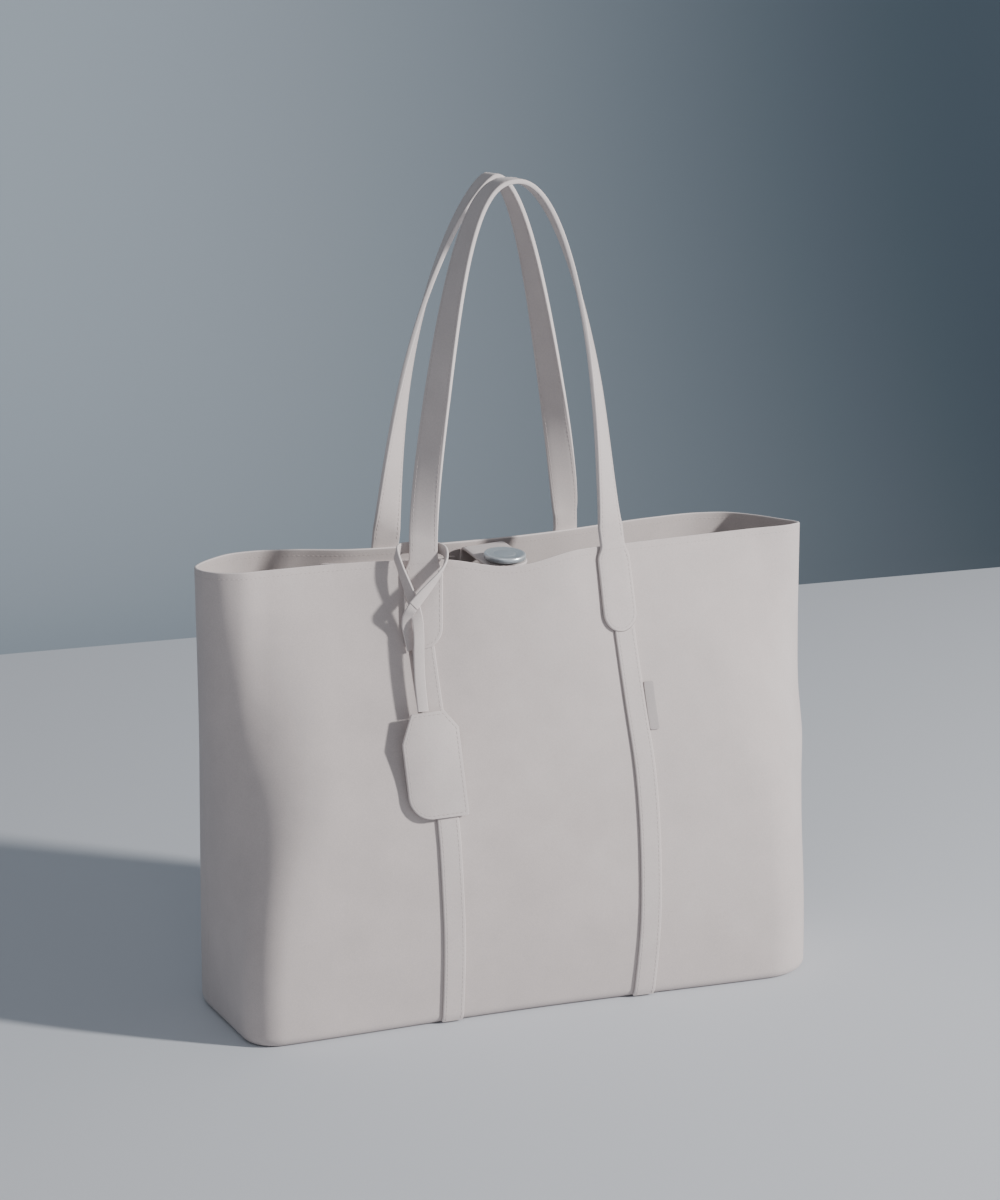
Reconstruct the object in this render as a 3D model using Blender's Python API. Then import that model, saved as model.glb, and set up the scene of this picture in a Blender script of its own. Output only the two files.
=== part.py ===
"""A soft suede tote bag with two long handles, built as separate leather pieces.

Units are metres and +Z is up. The bag stands on z = 0, its front looks along -Y, and x = 0 is the
line midway between the handle legs. Every piece is one closed solid on its own object.
"""
import math

import bmesh
import bpy
import numpy as np

MM = 0.001

# Body: the base, the section at half height and the mouth, measured from the middle of the handles
BAG_HEIGHT = 320 * MM
BASE_LEFT = 222 * MM
BASE_RIGHT = 220 * MM
BASE_FRONT = 87 * MM
BASE_BACK = 86 * MM
FRONT_LEFT_CORNER = 24 * MM
FRONT_RIGHT_CORNER = 42 * MM
BACK_LEFT_CORNER = 72 * MM
BACK_RIGHT_CORNER = 52 * MM
FRONT_BOW = 6 * MM
MIDDLE_LEFT = 223 * MM
MIDDLE_RIGHT = 242 * MM
MIDDLE_FRONT = 71 * MM
MIDDLE_BACK = 78 * MM
MIDDLE_LEFT_ROUND = 70 * MM
MIDDLE_RIGHT_ROUND = 88 * MM
MOUTH_LEFT = 226 * MM
MOUTH_RIGHT = 244 * MM
MOUTH_FRONT = 33 * MM
MOUTH_BACK = 72 * MM
SEAM_Y = 8 * MM
FRONT_BELLY = 7 * MM
BACK_BELLY = 6 * MM
RIM_DIP = 7.5 * MM
RIM_DIP_CENTRE = -5 * MM
RIM_DIP_REACH = 56 * MM
RIM_DIP_START = 0.78  # share of BAG_HEIGHT where the dip in the front rim begins
BELLY_MARGIN = 0.14  # share of a wall's outline at each end that doesn't swell
BELLY_SLANT = 0.35  # how much more the right end swells than the middle

# Leather
WALL = 2 * MM
HEM_RADIUS = 7 * MM
HEM_BEND = HEM_RADIUS * math.pi / 2
HEM_FLANGE = 8 * MM
BASE_THICKNESS = 2.4 * MM
GAP = 0.35 * MM

# Handles
HANDLE_SPREAD = 148 * MM
FRONT_HANDLE_SHIFT = 1 * MM
BACK_HANDLE_SHIFT = -2 * MM
HANDLE_DROP = 261 * MM
FRONT_APEX_X = 3 * MM
BACK_APEX_X = 8 * MM
FRONT_APEX_Y = -12 * MM
BACK_APEX_Y = 39 * MM
STRAP_WIDTH = 20 * MM
STRAP_THICKNESS = 3.4 * MM
PADDLE_WIDTH = 27 * MM
PADDLE_LENGTH = 60 * MM
PADDLE_THICKNESS = 2.4 * MM
PADDLE_SHOULDER = 10 * MM

# Strips that run from the paddles to the bottom edge
STRIP_WIDTH = 16 * MM
STRIP_THICKNESS = 1.8 * MM
STRIP_LEAN = 5 * MM
STRIP_END = math.radians(52)  # how far round the hem's bend a strip ends, from the floor

# Closure tab and its button
TAB_WIDTH = 32 * MM
TAB_THICKNESS = 2.4 * MM
TAB_CENTRE = -3 * MM
TAB_SEWN = 28 * MM
TAB_DROP = 8 * MM
TAB_REACH = 54 * MM
TAB_BEND = 7 * MM
TAB_SLOPE = math.radians(7)
BUTTON_DIAMETER = 30 * MM
BUTTON_HEIGHT = 4 * MM
BUTTON_RING = 16 * MM
BUTTON_GROOVE = 0.5 * MM
BUTTON_EDGE = 0.8 * MM
BUTTON_SIDES = 32

# Hanging tag and its strap
TAG_WIDTH = 43 * MM
TAG_LENGTH = 74 * MM
TAG_THICKNESS = 2.6 * MM
TAG_TOP = 24.7 * MM
TAG_LEFT_SHOULDER = 20 * MM
TAG_RIGHT_SHOULDER = 12.5 * MM
TAG_ROUND = 17 * MM
TAG_SIDE = 3.3 * MM
TAG_SWING = 2 * MM
TAG_STANDOFF = 0.5 * MM
TAG_GAP = 0.8 * MM
TAG_STRAP_WIDTH = 8 * MM
TAG_STRAP_THICKNESS = 1.8 * MM

# Small side label and the pocket inside
LABEL_WIDTH = 8 * MM
LABEL_LENGTH = 33 * MM
LABEL_DROP = 96 * MM
LABEL_THICKNESS = 1.0 * MM
POCKET_LEFT = -121 * MM
POCKET_RIGHT = -22 * MM
POCKET_DROP = 10 * MM
POCKET_DEPTH = 130 * MM
POCKET_THICKNESS = 1.4 * MM

# Fineness of the meshes
PANEL_COLUMNS = 40
WALL_ROWS = 16
HEM_ROWS = 3
OUTLINE_POINTS = 361
ARCH_STATIONS = 40
EDGE_POINTS = 60
CROWDING = 0.6  # how much closer the panels' columns lie at their ends
TWIST_START = 0.05  # share of a leg's path where its turn starts
TWIST_POWER = 0.6  # below one, most of the turn comes early
WALL_BLEND = 0.4  # share of a leg's path over which it stops facing the way the wall does

FRONT = -1
BACK = 1

# The mouth seen from above, from its left end to its right end. along is a share of the mouth's
# width, and depth a share of MOUTH_FRONT or MOUTH_BACK, counted from the line between the side seams.
FRONT_MOUTH = (
    # along, depth
    (0.000, 0.00),
    (0.003, 0.20),
    (0.017, 0.44),
    (0.049, 0.62),
    (0.098, 0.57),
    (0.209, 0.49),
    (0.270, 0.56),
    (0.328, 0.71),
    (0.396, 0.90),
    (0.481, 1.00),
    (0.562, 0.95),
    (0.621, 0.79),
    (0.713, 0.61),
    (0.806, 0.44),
    (0.900, 0.29),
    (0.985, 0.17),
    (0.997, 0.09),
    (1.000, 0.00),
)
BACK_MOUTH = (
    # along, depth
    (0.000, 0.00),
    (0.003, 0.13),
    (0.017, 0.30),
    (0.043, 0.50),
    (0.085, 0.72),
    (0.130, 0.77),
    (0.179, 0.70),
    (0.264, 0.45),
    (0.315, 0.40),
    (0.438, 0.41),
    (0.534, 0.47),
    (0.632, 0.61),
    (0.700, 0.75),
    (0.800, 0.94),
    (0.894, 1.00),
    (0.932, 0.91),
    (0.966, 0.60),
    (0.988, 0.24),
    (0.997, 0.09),
    (1.000, 0.00),
)

# How much of each outline a section holds, from the floor to the mouth. height is a share of
# BAG_HEIGHT, belly a share of FRONT_BELLY or BACK_BELLY.
LOFT = (
    # height, base, middle, mouth, belly
    (0.00, 1.00, 0.00, 0.00, 0.00),
    (0.08, 1.00, 0.00, 0.00, 0.50),
    (0.20, 0.90, 0.10, 0.00, 1.05),
    (0.32, 0.62, 0.38, 0.00, 1.05),
    (0.42, 0.32, 0.68, 0.00, 0.75),
    (0.52, 0.06, 0.90, 0.04, 0.25),
    (0.64, 0.00, 0.70, 0.30, 0.08),
    (0.82, 0.00, 0.35, 0.65, 0.00),
    (1.00, 0.00, 0.00, 1.00, 0.00),
)

# The tag's strap, from the tag up its left arm, round the back of the handle leg and down its right
# arm. across and out are measured from the leg's middle and the wall, up from the mouth's edge, all in
# strap widths; turn is the way the outer face looks, in degrees from the front towards the right.
TAG_STRAP_ROUTE = (
    # across, out, up, turn
    (-1.45, 1.20, -12.80, 0),
    (-1.38, 1.22, -10.40, 0),
    (-1.20, 1.25, -8.20, 0),
    (-0.98, 1.28, -6.60, 0),
    (-0.90, 1.28, -5.40, -8),
    (-1.00, 1.26, -4.10, -30),
    (-1.35, 1.20, -2.40, -60),
    (-1.70, 1.00, -0.80, -80),
    (-1.80, 0.45, 0.60, -92),
    (-1.30, -0.22, 1.00, -140),
    (0.40, -0.50, 1.05, -180),
    (1.90, -0.50, 1.00, -225),
    (2.38, 0.40, 0.55, -266),
    (2.12, 1.12, -0.50, -275),
    (1.50, 1.52, -1.40, -288),
    (0.50, 1.76, -2.40, -315),
    (-0.50, 1.88, -3.35, -342),
    (-1.20, 1.90, -4.05, -358),
)

# The tail: it leaves the end of the right arm, goes back through the run and hangs behind it.
TAG_TAIL_ROUTE = (
    # across, out, up, turn
    (-1.05, 1.87, -3.90, -356),
    (-1.45, 1.72, -4.40, -360),
    (-1.72, 1.30, -4.85, -360),
    (-1.80, 0.85, -5.45, -360),
    (-1.70, 0.65, -6.40, -360),
    (-1.55, 0.62, -7.60, -360),
)

# The handle legs. rise and bulge are the powers of the arch from the rim to its top, where the height
# to one power and the distance from the top to the other add up to one. lean is how far the leg's
# end moves to the right from its paddle's round end to the rim, as a share of the strap's width.
LEGS = {
    # wall, side: rise, bulge, lean
    (FRONT, -1): (1.00, 2.60, 0.36),
    (FRONT, 1): (1.65, 2.10, 0.00),
    (BACK, -1): (1.75, 1.38, 0.00),
    (BACK, 1): (1.00, 2.00, 0.00),
}


def shares(table, column):
    return np.array([row[column] for row in table], dtype=float)


def smooth_curve(keys, values, at):
    """Cubic curve through the values, with slopes taken from each point's neighbours."""
    keys = np.asarray(keys, dtype=float)
    values = np.asarray(values, dtype=float)
    slopes = np.gradient(values, keys, axis=0)
    at = np.clip(np.asarray(at, dtype=float), keys[0], keys[-1])
    index = np.clip(np.searchsorted(keys, at, side="right") - 1, 0, len(keys) - 2)
    span = keys[index + 1] - keys[index]
    t = (at - keys[index]) / span
    if values.ndim > 1:
        span = np.reshape(span, np.shape(span) + (1,))
        t = np.reshape(t, np.shape(t) + (1,))
    near = (2 * t ** 3 - 3 * t ** 2 + 1) * values[index]
    near = near + (t ** 3 - 2 * t ** 2 + t) * span * slopes[index]
    far = (3 * t ** 2 - 2 * t ** 3) * values[index + 1]
    return near + far + (t ** 3 - t ** 2) * span * slopes[index + 1]


def resample(points, count):
    """The same path with its points evenly spaced along its length."""
    points = np.asarray(points, dtype=float)
    steps = np.linalg.norm(np.diff(points, axis=0), axis=1)
    run = np.concatenate(([0.0], np.cumsum(steps)))
    even = np.linspace(0.0, run[-1], count)
    return np.stack([np.interp(even, run, points[:, axis]) for axis in range(points.shape[1])], axis=1)


def quarter(centre, reach, angles, count=24):
    """A quarter turn of an ellipse between two angles in degrees."""
    turn = np.radians(np.linspace(angles[0], angles[1], count))
    return np.stack([centre[0] + reach[0] * np.cos(turn), centre[1] + reach[1] * np.sin(turn)], axis=1)


def base_outline(half):
    """Half of the base, from the left side seam round the front or the back to the right one."""
    depth = BASE_FRONT if half == FRONT else BASE_BACK
    left = FRONT_LEFT_CORNER if half == FRONT else BACK_LEFT_CORNER
    right = FRONT_RIGHT_CORNER if half == FRONT else BACK_RIGHT_CORNER
    bow = FRONT_BOW if half == FRONT else 0.0
    edge = half * depth
    first = quarter((left - BASE_LEFT, edge - half * left), (left, half * left), (180, 90))
    last = quarter((BASE_RIGHT - right, edge - half * right), (right, half * right), (90, 0))
    across = np.linspace(first[-1][0], last[0][0], EDGE_POINTS)[1:-1]
    share = (across - first[-1][0]) / (last[0][0] - first[-1][0])
    straight = np.stack([across, edge - half * bow * np.sin(np.pi * share) ** 1.5], axis=1)
    left_end = [[-BASE_LEFT, SEAM_Y]]
    right_end = [[BASE_RIGHT, SEAM_Y]]
    return resample(np.concatenate((left_end, first, straight, last, right_end)), OUTLINE_POINTS)


def middle_outline(half):
    """Half of the rounder section at half height, whose ends are quarters of an ellipse."""
    depth = half * (MIDDLE_FRONT if half == FRONT else MIDDLE_BACK)
    reach = depth - SEAM_Y
    left = quarter((MIDDLE_LEFT_ROUND - MIDDLE_LEFT, SEAM_Y), (MIDDLE_LEFT_ROUND, reach), (180, 90))
    right = quarter((MIDDLE_RIGHT - MIDDLE_RIGHT_ROUND, SEAM_Y), (MIDDLE_RIGHT_ROUND, reach), (90, 0))
    return resample(np.concatenate((left, right)), OUTLINE_POINTS)


def mouth_outline(half):
    table = FRONT_MOUTH if half == FRONT else BACK_MOUTH
    depth = -MOUTH_FRONT if half == FRONT else MOUTH_BACK
    x = -MOUTH_LEFT + (MOUTH_LEFT + MOUTH_RIGHT) * shares(table, 0)
    y = SEAM_Y + (depth - SEAM_Y) * shares(table, 1)
    corners = np.stack([x, y], axis=1)
    run = np.concatenate(([0.0], np.cumsum(np.linalg.norm(np.diff(corners, axis=0), axis=1))))
    fine = np.linspace(0.0, run[-1], 4 * OUTLINE_POINTS)
    return resample(smooth_curve(run, corners, fine), OUTLINE_POINTS)


OUTLINES = {half: (base_outline(half), middle_outline(half), mouth_outline(half)) for half in (FRONT, BACK)}
ALONG = np.linspace(0.0, 1.0, OUTLINE_POINTS)
EVEN_PLACES = np.linspace(0.0, 1.0, PANEL_COLUMNS + 1)
PANEL_PLACES = EVEN_PLACES - CROWDING * np.sin(2 * np.pi * EVEN_PLACES) / (2 * np.pi)
LOFT_KEYS = shares(LOFT, 0)
LOFT_VALUES = np.array([row[1:] for row in LOFT], dtype=float)


def profile(run):
    """Height and inset at a run up the wall. The run starts where the hem meets the floor."""
    if run < 0:
        return 0.0, HEM_RADIUS - run
    if run < HEM_BEND:
        turn = run / HEM_RADIUS
        return HEM_RADIUS * (1 - math.cos(turn)), HEM_RADIUS * (1 - math.sin(turn))
    return HEM_RADIUS + run - HEM_BEND, 0.0


def run_at(height):
    """The run up the wall that reaches a height above the hem."""
    return height - HEM_RADIUS + HEM_BEND


RIM_RUN = run_at(BAG_HEIGHT)
PANEL_RUNS = [HEM_BEND * row / HEM_ROWS for row in range(HEM_ROWS)]
PANEL_RUNS += [HEM_BEND + (RIM_RUN - HEM_BEND) * row / WALL_ROWS for row in range(WALL_ROWS + 1)]


def runs_between(low, high):
    """Two runs and the panels' own rows between them, so that a sheet's facets lie along the wall's."""
    margin = 2 * MM
    return [low] + [run for run in PANEL_RUNS if low + margin < run < high - margin] + [high]


def section(half, run):
    """Dense points of the outer face at a run up the wall, as rows of x, y and z."""
    height, inset = profile(run)
    base, middle, mouth, belly = smooth_curve(LOFT_KEYS, LOFT_VALUES, height / BAG_HEIGHT)
    outlines = OUTLINES[half]
    points = base * outlines[0] + middle * outlines[1] + mouth * outlines[2]
    swell = FRONT_BELLY if half == FRONT else BACK_BELLY
    fade = np.clip((ALONG - BELLY_MARGIN) / (1 - 2 * BELLY_MARGIN), 0.0, 1.0)
    uneven = 1.0 + BELLY_SLANT * points[:, 0] / BASE_RIGHT
    points[:, 1] += half * swell * belly * np.sin(np.pi * fade) ** 2 * uneven
    if inset > 0:
        tangent = np.gradient(points, axis=0)
        tangent[0] = tangent[-1] = (0.0, 1.0)
        tangent[0] *= half
        tangent[-1] *= -half
        tangent /= np.linalg.norm(tangent, axis=1)[:, None]
        points = points + half * inset * np.stack([tangent[:, 1], -tangent[:, 0]], axis=1)
    z = np.full(len(points), height)
    if half == FRONT:
        near_rim = np.clip((height / BAG_HEIGHT - RIM_DIP_START) / (1 - RIM_DIP_START), 0.0, 1.0)
        reach = np.clip(np.abs(points[:, 0] - RIM_DIP_CENTRE) / RIM_DIP_REACH, 0.0, 1.0)
        z -= RIM_DIP * near_rim ** 2 * (3 - 2 * near_rim) * 0.5 * (1 + np.cos(np.pi * reach))
    return np.column_stack([points, z])


def unit(vector):
    vector = np.asarray(vector, dtype=float)
    return vector / np.linalg.norm(vector)


def across_section(points, x):
    """The point of a section's front or back stretch at an x."""
    inner = slice(OUTLINE_POINTS // 12, -(OUTLINE_POINTS // 12))
    row = points[inner]
    return np.array([np.interp(x, row[:, 0], row[:, axis]) for axis in range(3)])


def on_wall(half, x, run, out):
    """A point at an x and a run up the wall, moved out from the outer face along its normal."""
    step = 1.0 * MM
    low = section(half, run - step)
    level = section(half, run)
    high = section(half, min(run + step, RIM_RUN))
    up = unit(across_section(high, x) - across_section(low, x))
    sideways = unit(across_section(level, x + step) - across_section(level, x - step))
    normal = unit(np.cross(sideways, up)) * -half
    return across_section(level, x) + out * normal


def material(name, colour, roughness, metallic=0.0):
    made = bpy.data.materials.new(name)
    made.use_nodes = True
    shader = made.node_tree.nodes["Principled BSDF"]
    shader.inputs["Base Color"].default_value = (*colour, 1.0)
    shader.inputs["Roughness"].default_value = roughness
    shader.inputs["Metallic"].default_value = metallic
    made.diffuse_color = (*colour, 1.0)
    return made


def add_object(name, vertices, faces, look, sharp=30):
    mesh = bpy.data.meshes.new(name)
    mesh.from_pydata([tuple(float(value) for value in vertex) for vertex in vertices], [], faces)
    shape = bmesh.new()
    shape.from_mesh(mesh)
    bmesh.ops.recalc_face_normals(shape, faces=shape.faces)
    shape.to_mesh(mesh)
    shape.free()
    mesh.shade_smooth()
    mesh.set_sharp_from_angle(angle=math.radians(sharp))
    made = bpy.data.objects.new(name, mesh)
    made.data.materials.append(look)
    bpy.context.scene.collection.objects.link(made)
    return made


def closed_grid(name, outer, inner, look):
    """A sheet between two grids of points, closed along its four edges."""
    rows, columns = outer.shape[0], outer.shape[1]
    vertices = np.concatenate((outer.reshape(-1, 3), inner.reshape(-1, 3)))
    offset = rows * columns

    def at(row, column, layer=0):
        return layer * offset + row * columns + column

    faces = []
    for row in range(rows - 1):
        for column in range(columns - 1):
            quad = ((row, column), (row, column + 1), (row + 1, column + 1), (row + 1, column))
            faces.append(tuple(at(*spot) for spot in quad))
            faces.append(tuple(at(*spot, 1) for spot in reversed(quad)))
    border = [(0, column) for column in range(columns - 1)]
    border += [(row, columns - 1) for row in range(rows - 1)]
    border += [(rows - 1, column) for column in range(columns - 1, 0, -1)]
    border += [(row, 0) for row in range(rows - 1, 0, -1)]
    for here, there in zip(border, border[1:] + border[:1]):
        faces.append((at(*there), at(*here), at(*here, 1), at(*there, 1)))
    return add_object(name, vertices, faces, look)


def closed_rings(name, rings, look):
    """A solid swept through rings that all have the same number of points."""
    size = len(rings[0])
    vertices = [point for ring in rings for point in ring]
    faces = []
    for ring in range(len(rings) - 1):
        for corner in range(size):
            following = (corner + 1) % size
            low, high = ring * size, (ring + 1) * size
            faces.append((low + corner, low + following, high + following, high + corner))
    faces.append(tuple(range(size)))
    last = (len(rings) - 1) * size
    faces.append(tuple(last + corner for corner in reversed(range(size))))
    return add_object(name, vertices, faces, look)


def panel_row(half, run):
    """The points of a section at the panels' columns."""
    points = section(half, run)
    return np.stack([np.interp(PANEL_PLACES, ALONG, points[:, axis]) for axis in range(3)], axis=1)


def panel(name, half, look):
    """One wall of the body with half of both sides, its bottom edge turned under to a flange."""
    runs = [-HEM_FLANGE] + PANEL_RUNS
    outer = np.array([panel_row(half, run) for run in runs])
    outer[:, 0, 1] = outer[:, -1, 1] = SEAM_Y + half * GAP / 2
    up = np.zeros_like(outer)
    up[1:-1] = outer[2:] - outer[:-2]
    up[0] = outer[1] - outer[0]
    up[-1] = outer[-1] - outer[-2]
    sideways = np.zeros_like(outer)
    sideways[:, 1:-1] = outer[:, 2:] - outer[:, :-2]
    sideways[:, 0] = outer[:, 1] - outer[:, 0]
    sideways[:, -1] = outer[:, -1] - outer[:, -2]
    sideways[:, 0, 0] = sideways[:, -1, 0] = 0.0
    normal = np.cross(sideways, up) * -half
    normal[0] = (0.0, 0.0, -1.0)
    normal /= np.linalg.norm(normal, axis=2)[:, :, None]
    normal[:, (0, -1), 1] = 0.0
    inner = outer - WALL * normal
    return closed_grid(name, outer, inner, look)


def base_panel(look):
    """The flat bottom, set inside the flanges of both walls."""
    inset_run = -(HEM_FLANGE + GAP)
    ring = np.concatenate((panel_row(FRONT, inset_run)[:-1], panel_row(BACK, inset_run)[:0:-1]))
    vertices = [(x, y, height) for height in (0.0, BASE_THICKNESS) for x, y, _ in ring]
    count = len(ring)
    faces = [tuple(range(count)), tuple(count + spot for spot in range(count))]
    for spot in range(count):
        following = (spot + 1) % count
        faces.append((spot, following, count + following, count + spot))
    return add_object("base_panel", vertices, faces, look)


def leg_x(half, side, share):
    """The middle of a handle leg on the wall, from its paddle's round end, 0, to the rim, 1."""
    shift = FRONT_HANDLE_SHIFT if half == FRONT else BACK_HANDLE_SHIFT
    lean = LEGS[half, side][2] * STRAP_WIDTH
    return shift + side * HANDLE_SPREAD / 2 + lean * (share - 0.5)


def handle(name, half, apex, look):
    """One strap: a paddle on the wall, an arch that turns its flat side up, and the other paddle."""
    lift = GAP + STRAP_THICKNESS / 2
    rims = [leg_x(half, side, 1.0) for side in (-1, 1)]
    feet = [on_wall(half, x, RIM_RUN, lift) for x in rims]
    lean = unit(feet[0] - on_wall(half, rims[0], RIM_RUN - STRAP_WIDTH / 2, lift))
    slope = lean[1] / lean[2]
    top = BAG_HEIGHT + HANDLE_DROP
    fine = np.linspace(0.0, math.pi, 400)
    branches = []
    for foot, side, keep in zip(feet, (-1, 1), (fine < math.pi / 2, fine >= math.pi / 2)):
        rise, bulge, _ = LEGS[half, side]
        height = np.clip(np.sin(fine[keep]), 0.0, 1.0) ** (2 / rise)
        reach = np.abs(np.cos(fine[keep])) ** (2 / bulge)
        ease = height ** 2 * (3 - 2 * height)
        leaning = slope * HANDLE_DROP * height * (1 - height) ** 4
        x = apex[0] + (foot[0] - apex[0]) * reach
        y = foot[1] + leaning + (apex[1] - foot[1]) * ease
        branches.append(np.column_stack([x, y, foot[2] + (top - foot[2]) * height]))
    path = resample(np.concatenate(branches), ARCH_STATIONS + 1)
    faces = [unit(on_wall(half, x, RIM_RUN, 2 * lift) - on_wall(half, x, RIM_RUN, 0.0)) for x in rims]
    tangents = np.gradient(path, axis=0)
    rings = []
    for station in range(1, ARCH_STATIONS):
        centre = path[station]
        tangent = unit(tangents[station])
        share = 1 - abs(2 * station / ARCH_STATIONS - 1)
        twist = math.pi / 2 * max(0.0, (share - TWIST_START) / (1 - TWIST_START)) ** TWIST_POWER
        wall_share = max(0.0, 1 - share / WALL_BLEND)
        start = faces[0] if 2 * station < ARCH_STATIONS else faces[1]
        outward = unit(start * wall_share + np.array([0.0, float(half), 0.0]) * (1 - wall_share))
        flat = unit(outward - tangent * outward.dot(tangent))
        away = unit(np.cross(outward, tangent)) * -half
        normal = math.cos(twist) * flat + math.sin(twist) * away
        width = np.cross(tangent, normal)
        ring = [centre + width * STRAP_WIDTH * place + normal * STRAP_THICKNESS / 2
                for place in (-0.5, 0.0, 0.5)]
        ring += [centre + width * STRAP_WIDTH * place - normal * STRAP_THICKNESS / 2
                 for place in (0.5, 0.0, -0.5)]
        rings.append(ring)
    sign = -half
    paddles = []
    for leg, way in zip((-1, 1), (sign, -sign)):
        radius = PADDLE_WIDTH / 2
        stations = [(depth, 2 * math.sqrt(radius ** 2 - (radius - depth) ** 2), PADDLE_THICKNESS)
                    for depth in (radius * share for share in (0.04, 0.15, 0.35, 0.65, 1.0))]
        stations += [(radius + (PADDLE_LENGTH - PADDLE_SHOULDER - radius) * share, PADDLE_WIDTH,
                      PADDLE_THICKNESS) for share in (0.5, 1.0)]
        stations.append((PADDLE_LENGTH - PADDLE_SHOULDER / 2, (PADDLE_WIDTH + STRAP_WIDTH) / 2,
                         (PADDLE_THICKNESS + STRAP_THICKNESS) / 2))
        stations.append((PADDLE_LENGTH, STRAP_WIDTH, STRAP_THICKNESS))
        rows = []
        for depth, width, thickness in stations:
            run = RIM_RUN - PADDLE_LENGTH + depth
            centre = leg_x(half, leg, depth / PADDLE_LENGTH)
            spots = [centre + way * width * place for place in (-0.5, 0.0, 0.5)]
            ring = [on_wall(half, x, run, GAP + thickness) for x in spots]
            ring += [on_wall(half, x, run, GAP) for x in reversed(spots)]
            rows.append(ring)
        paddles.append(rows)
    return closed_rings(name, paddles[0] + rings + paddles[1][::-1], look)


def strip_x(half, side, height):
    """The middle of a strip at a height. It starts below its paddle, and the right one bows out."""
    shift = FRONT_HANDLE_SHIFT if half == FRONT else BACK_HANDLE_SHIFT
    middle = shift + side * HANDLE_SPREAD / 2
    bow = STRIP_LEAN * math.sin(math.pi * (1 - height / BAG_HEIGHT)) if side > 0 else 0.0
    near_top = np.clip(height / (BAG_HEIGHT - PADDLE_LENGTH) * 2 - 1, 0.0, 1.0)
    return middle + bow + (leg_x(half, side, 0.0) - middle) * near_top


def strip(name, half, side, look):
    """A flat strip on the wall from just below a paddle's round end to the turned bottom edge."""
    radius = PADDLE_WIDTH / 2
    top = RIM_RUN - PADDLE_LENGTH
    paddle_x = leg_x(half, side, 0.0)
    low = HEM_RADIUS * STRIP_END
    runs = runs_between(low, top - GAP)
    outer, inner = [], []
    for row_run in runs:
        row_out, row_in = [], []
        for place in (-0.5, -0.25, 0.0, 0.25, 0.5):
            x = strip_x(half, side, profile(row_run)[0]) + STRIP_WIDTH * place
            edge = min(abs(x - paddle_x) / (radius + GAP), 1.0)
            notch = (radius + GAP) * (1 - math.sqrt(1 - edge ** 2)) if row_run == runs[-1] else 0.0
            run = row_run + notch
            row_out.append(on_wall(half, x, run, GAP + STRIP_THICKNESS))
            row_in.append(on_wall(half, x, run, GAP))
        outer.append(row_out)
        inner.append(row_in)
    return closed_grid(name, np.array(outer), np.array(inner), look)


def patch(name, half, box, outs, columns, look):
    """A sheet that follows the wall over a box of left, right, low and high, between two distances."""
    left, right, low, high = box
    grids = []
    for out in outs:
        grids.append(np.array([[on_wall(half, x, run, out) for x in np.linspace(left, right, columns)]
                               for run in runs_between(low, high)]))
    return closed_grid(name, grids[0], grids[1], look)


def closure(look, metal):
    """The tab sewn inside the back wall, bent over towards the front, and the button on its end."""
    near = WALL + GAP
    columns = [TAB_CENTRE + TAB_WIDTH * place for place in (-0.5, -0.25, 0.0, 0.25, 0.5)]
    start = RIM_RUN - TAB_DROP
    rings = []
    for share in (0.0, 0.5, 1.0):
        run = start - TAB_SEWN * (1 - share)
        ring = [on_wall(BACK, x, run, -near) for x in columns]
        ring += [on_wall(BACK, x, run, -near - TAB_THICKNESS) for x in reversed(columns)]
        rings.append(np.array(ring))
    middle = len(columns) // 2
    rise = unit(rings[2][middle] - rings[1][middle])
    lean = math.atan2(-rise[1], rise[2])
    total = math.pi / 2 + TAB_SLOPE - lean
    anchor = np.array(rings[-1])
    toward = np.array([0.0, -math.cos(lean), -math.sin(lean)])
    pivot = anchor[middle] + toward * (TAB_BEND + TAB_THICKNESS / 2)
    for step in range(1, 7):
        angle = total * step / 6
        offset = anchor - pivot
        turned = np.array(offset)
        turned[:, 1] = offset[:, 1] * math.cos(angle) - offset[:, 2] * math.sin(angle)
        turned[:, 2] = offset[:, 1] * math.sin(angle) + offset[:, 2] * math.cos(angle)
        rings.append(turned + pivot)
    bent = rings[-1]
    ahead = np.array([0.0, -math.cos(TAB_SLOPE), -math.sin(TAB_SLOPE)])
    radius = TAB_WIDTH / 2
    travel = TAB_REACH - radius
    middle_x = bent[middle][0]
    ends = [(travel * 0.5, 1.0), (travel, 1.0)]
    ends += [(travel + radius * math.sin(angle), math.cos(angle))
             for angle in (math.radians(value) for value in (20, 40, 58, 72, 83))]
    for distance, width in ends:
        ring = bent + ahead * distance
        ring[:, 0] = middle_x + (ring[:, 0] - middle_x) * width
        rings.append(ring)
    tab = closed_rings("closure_strap", rings, look)

    top = bent[middle] + ahead * travel
    normal = np.array([0.0, -math.sin(TAB_SLOPE), math.cos(TAB_SLOPE)])
    side = np.array([1.0, 0.0, 0.0])
    highest = max(float((bent[index] - bent[middle]).dot(normal)) for index in range(len(columns)))
    seat = top + normal * (GAP + highest)
    rim = BUTTON_DIAMETER / 2
    ring = BUTTON_RING / 2
    hub = ring / 2
    turning = (
        (hub, 0.0), (rim - BUTTON_EDGE, 0.0), (rim, BUTTON_EDGE), (rim, BUTTON_HEIGHT - BUTTON_EDGE),
        (rim - BUTTON_EDGE, BUTTON_HEIGHT), (ring + BUTTON_GROOVE, BUTTON_HEIGHT),
        (ring, BUTTON_HEIGHT - BUTTON_GROOVE), (ring - BUTTON_GROOVE, BUTTON_HEIGHT), (hub, BUTTON_HEIGHT),
    )
    rings = []
    for reach, height in turning:
        turns = [2 * math.pi * spot / BUTTON_SIDES for spot in range(BUTTON_SIDES)]
        rings.append([seat + normal * height + reach * (side * math.cos(turn) + ahead * math.sin(turn))
                      for turn in turns])
    button = closed_rings("closure_button", rings, metal)
    return tab, button


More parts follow.
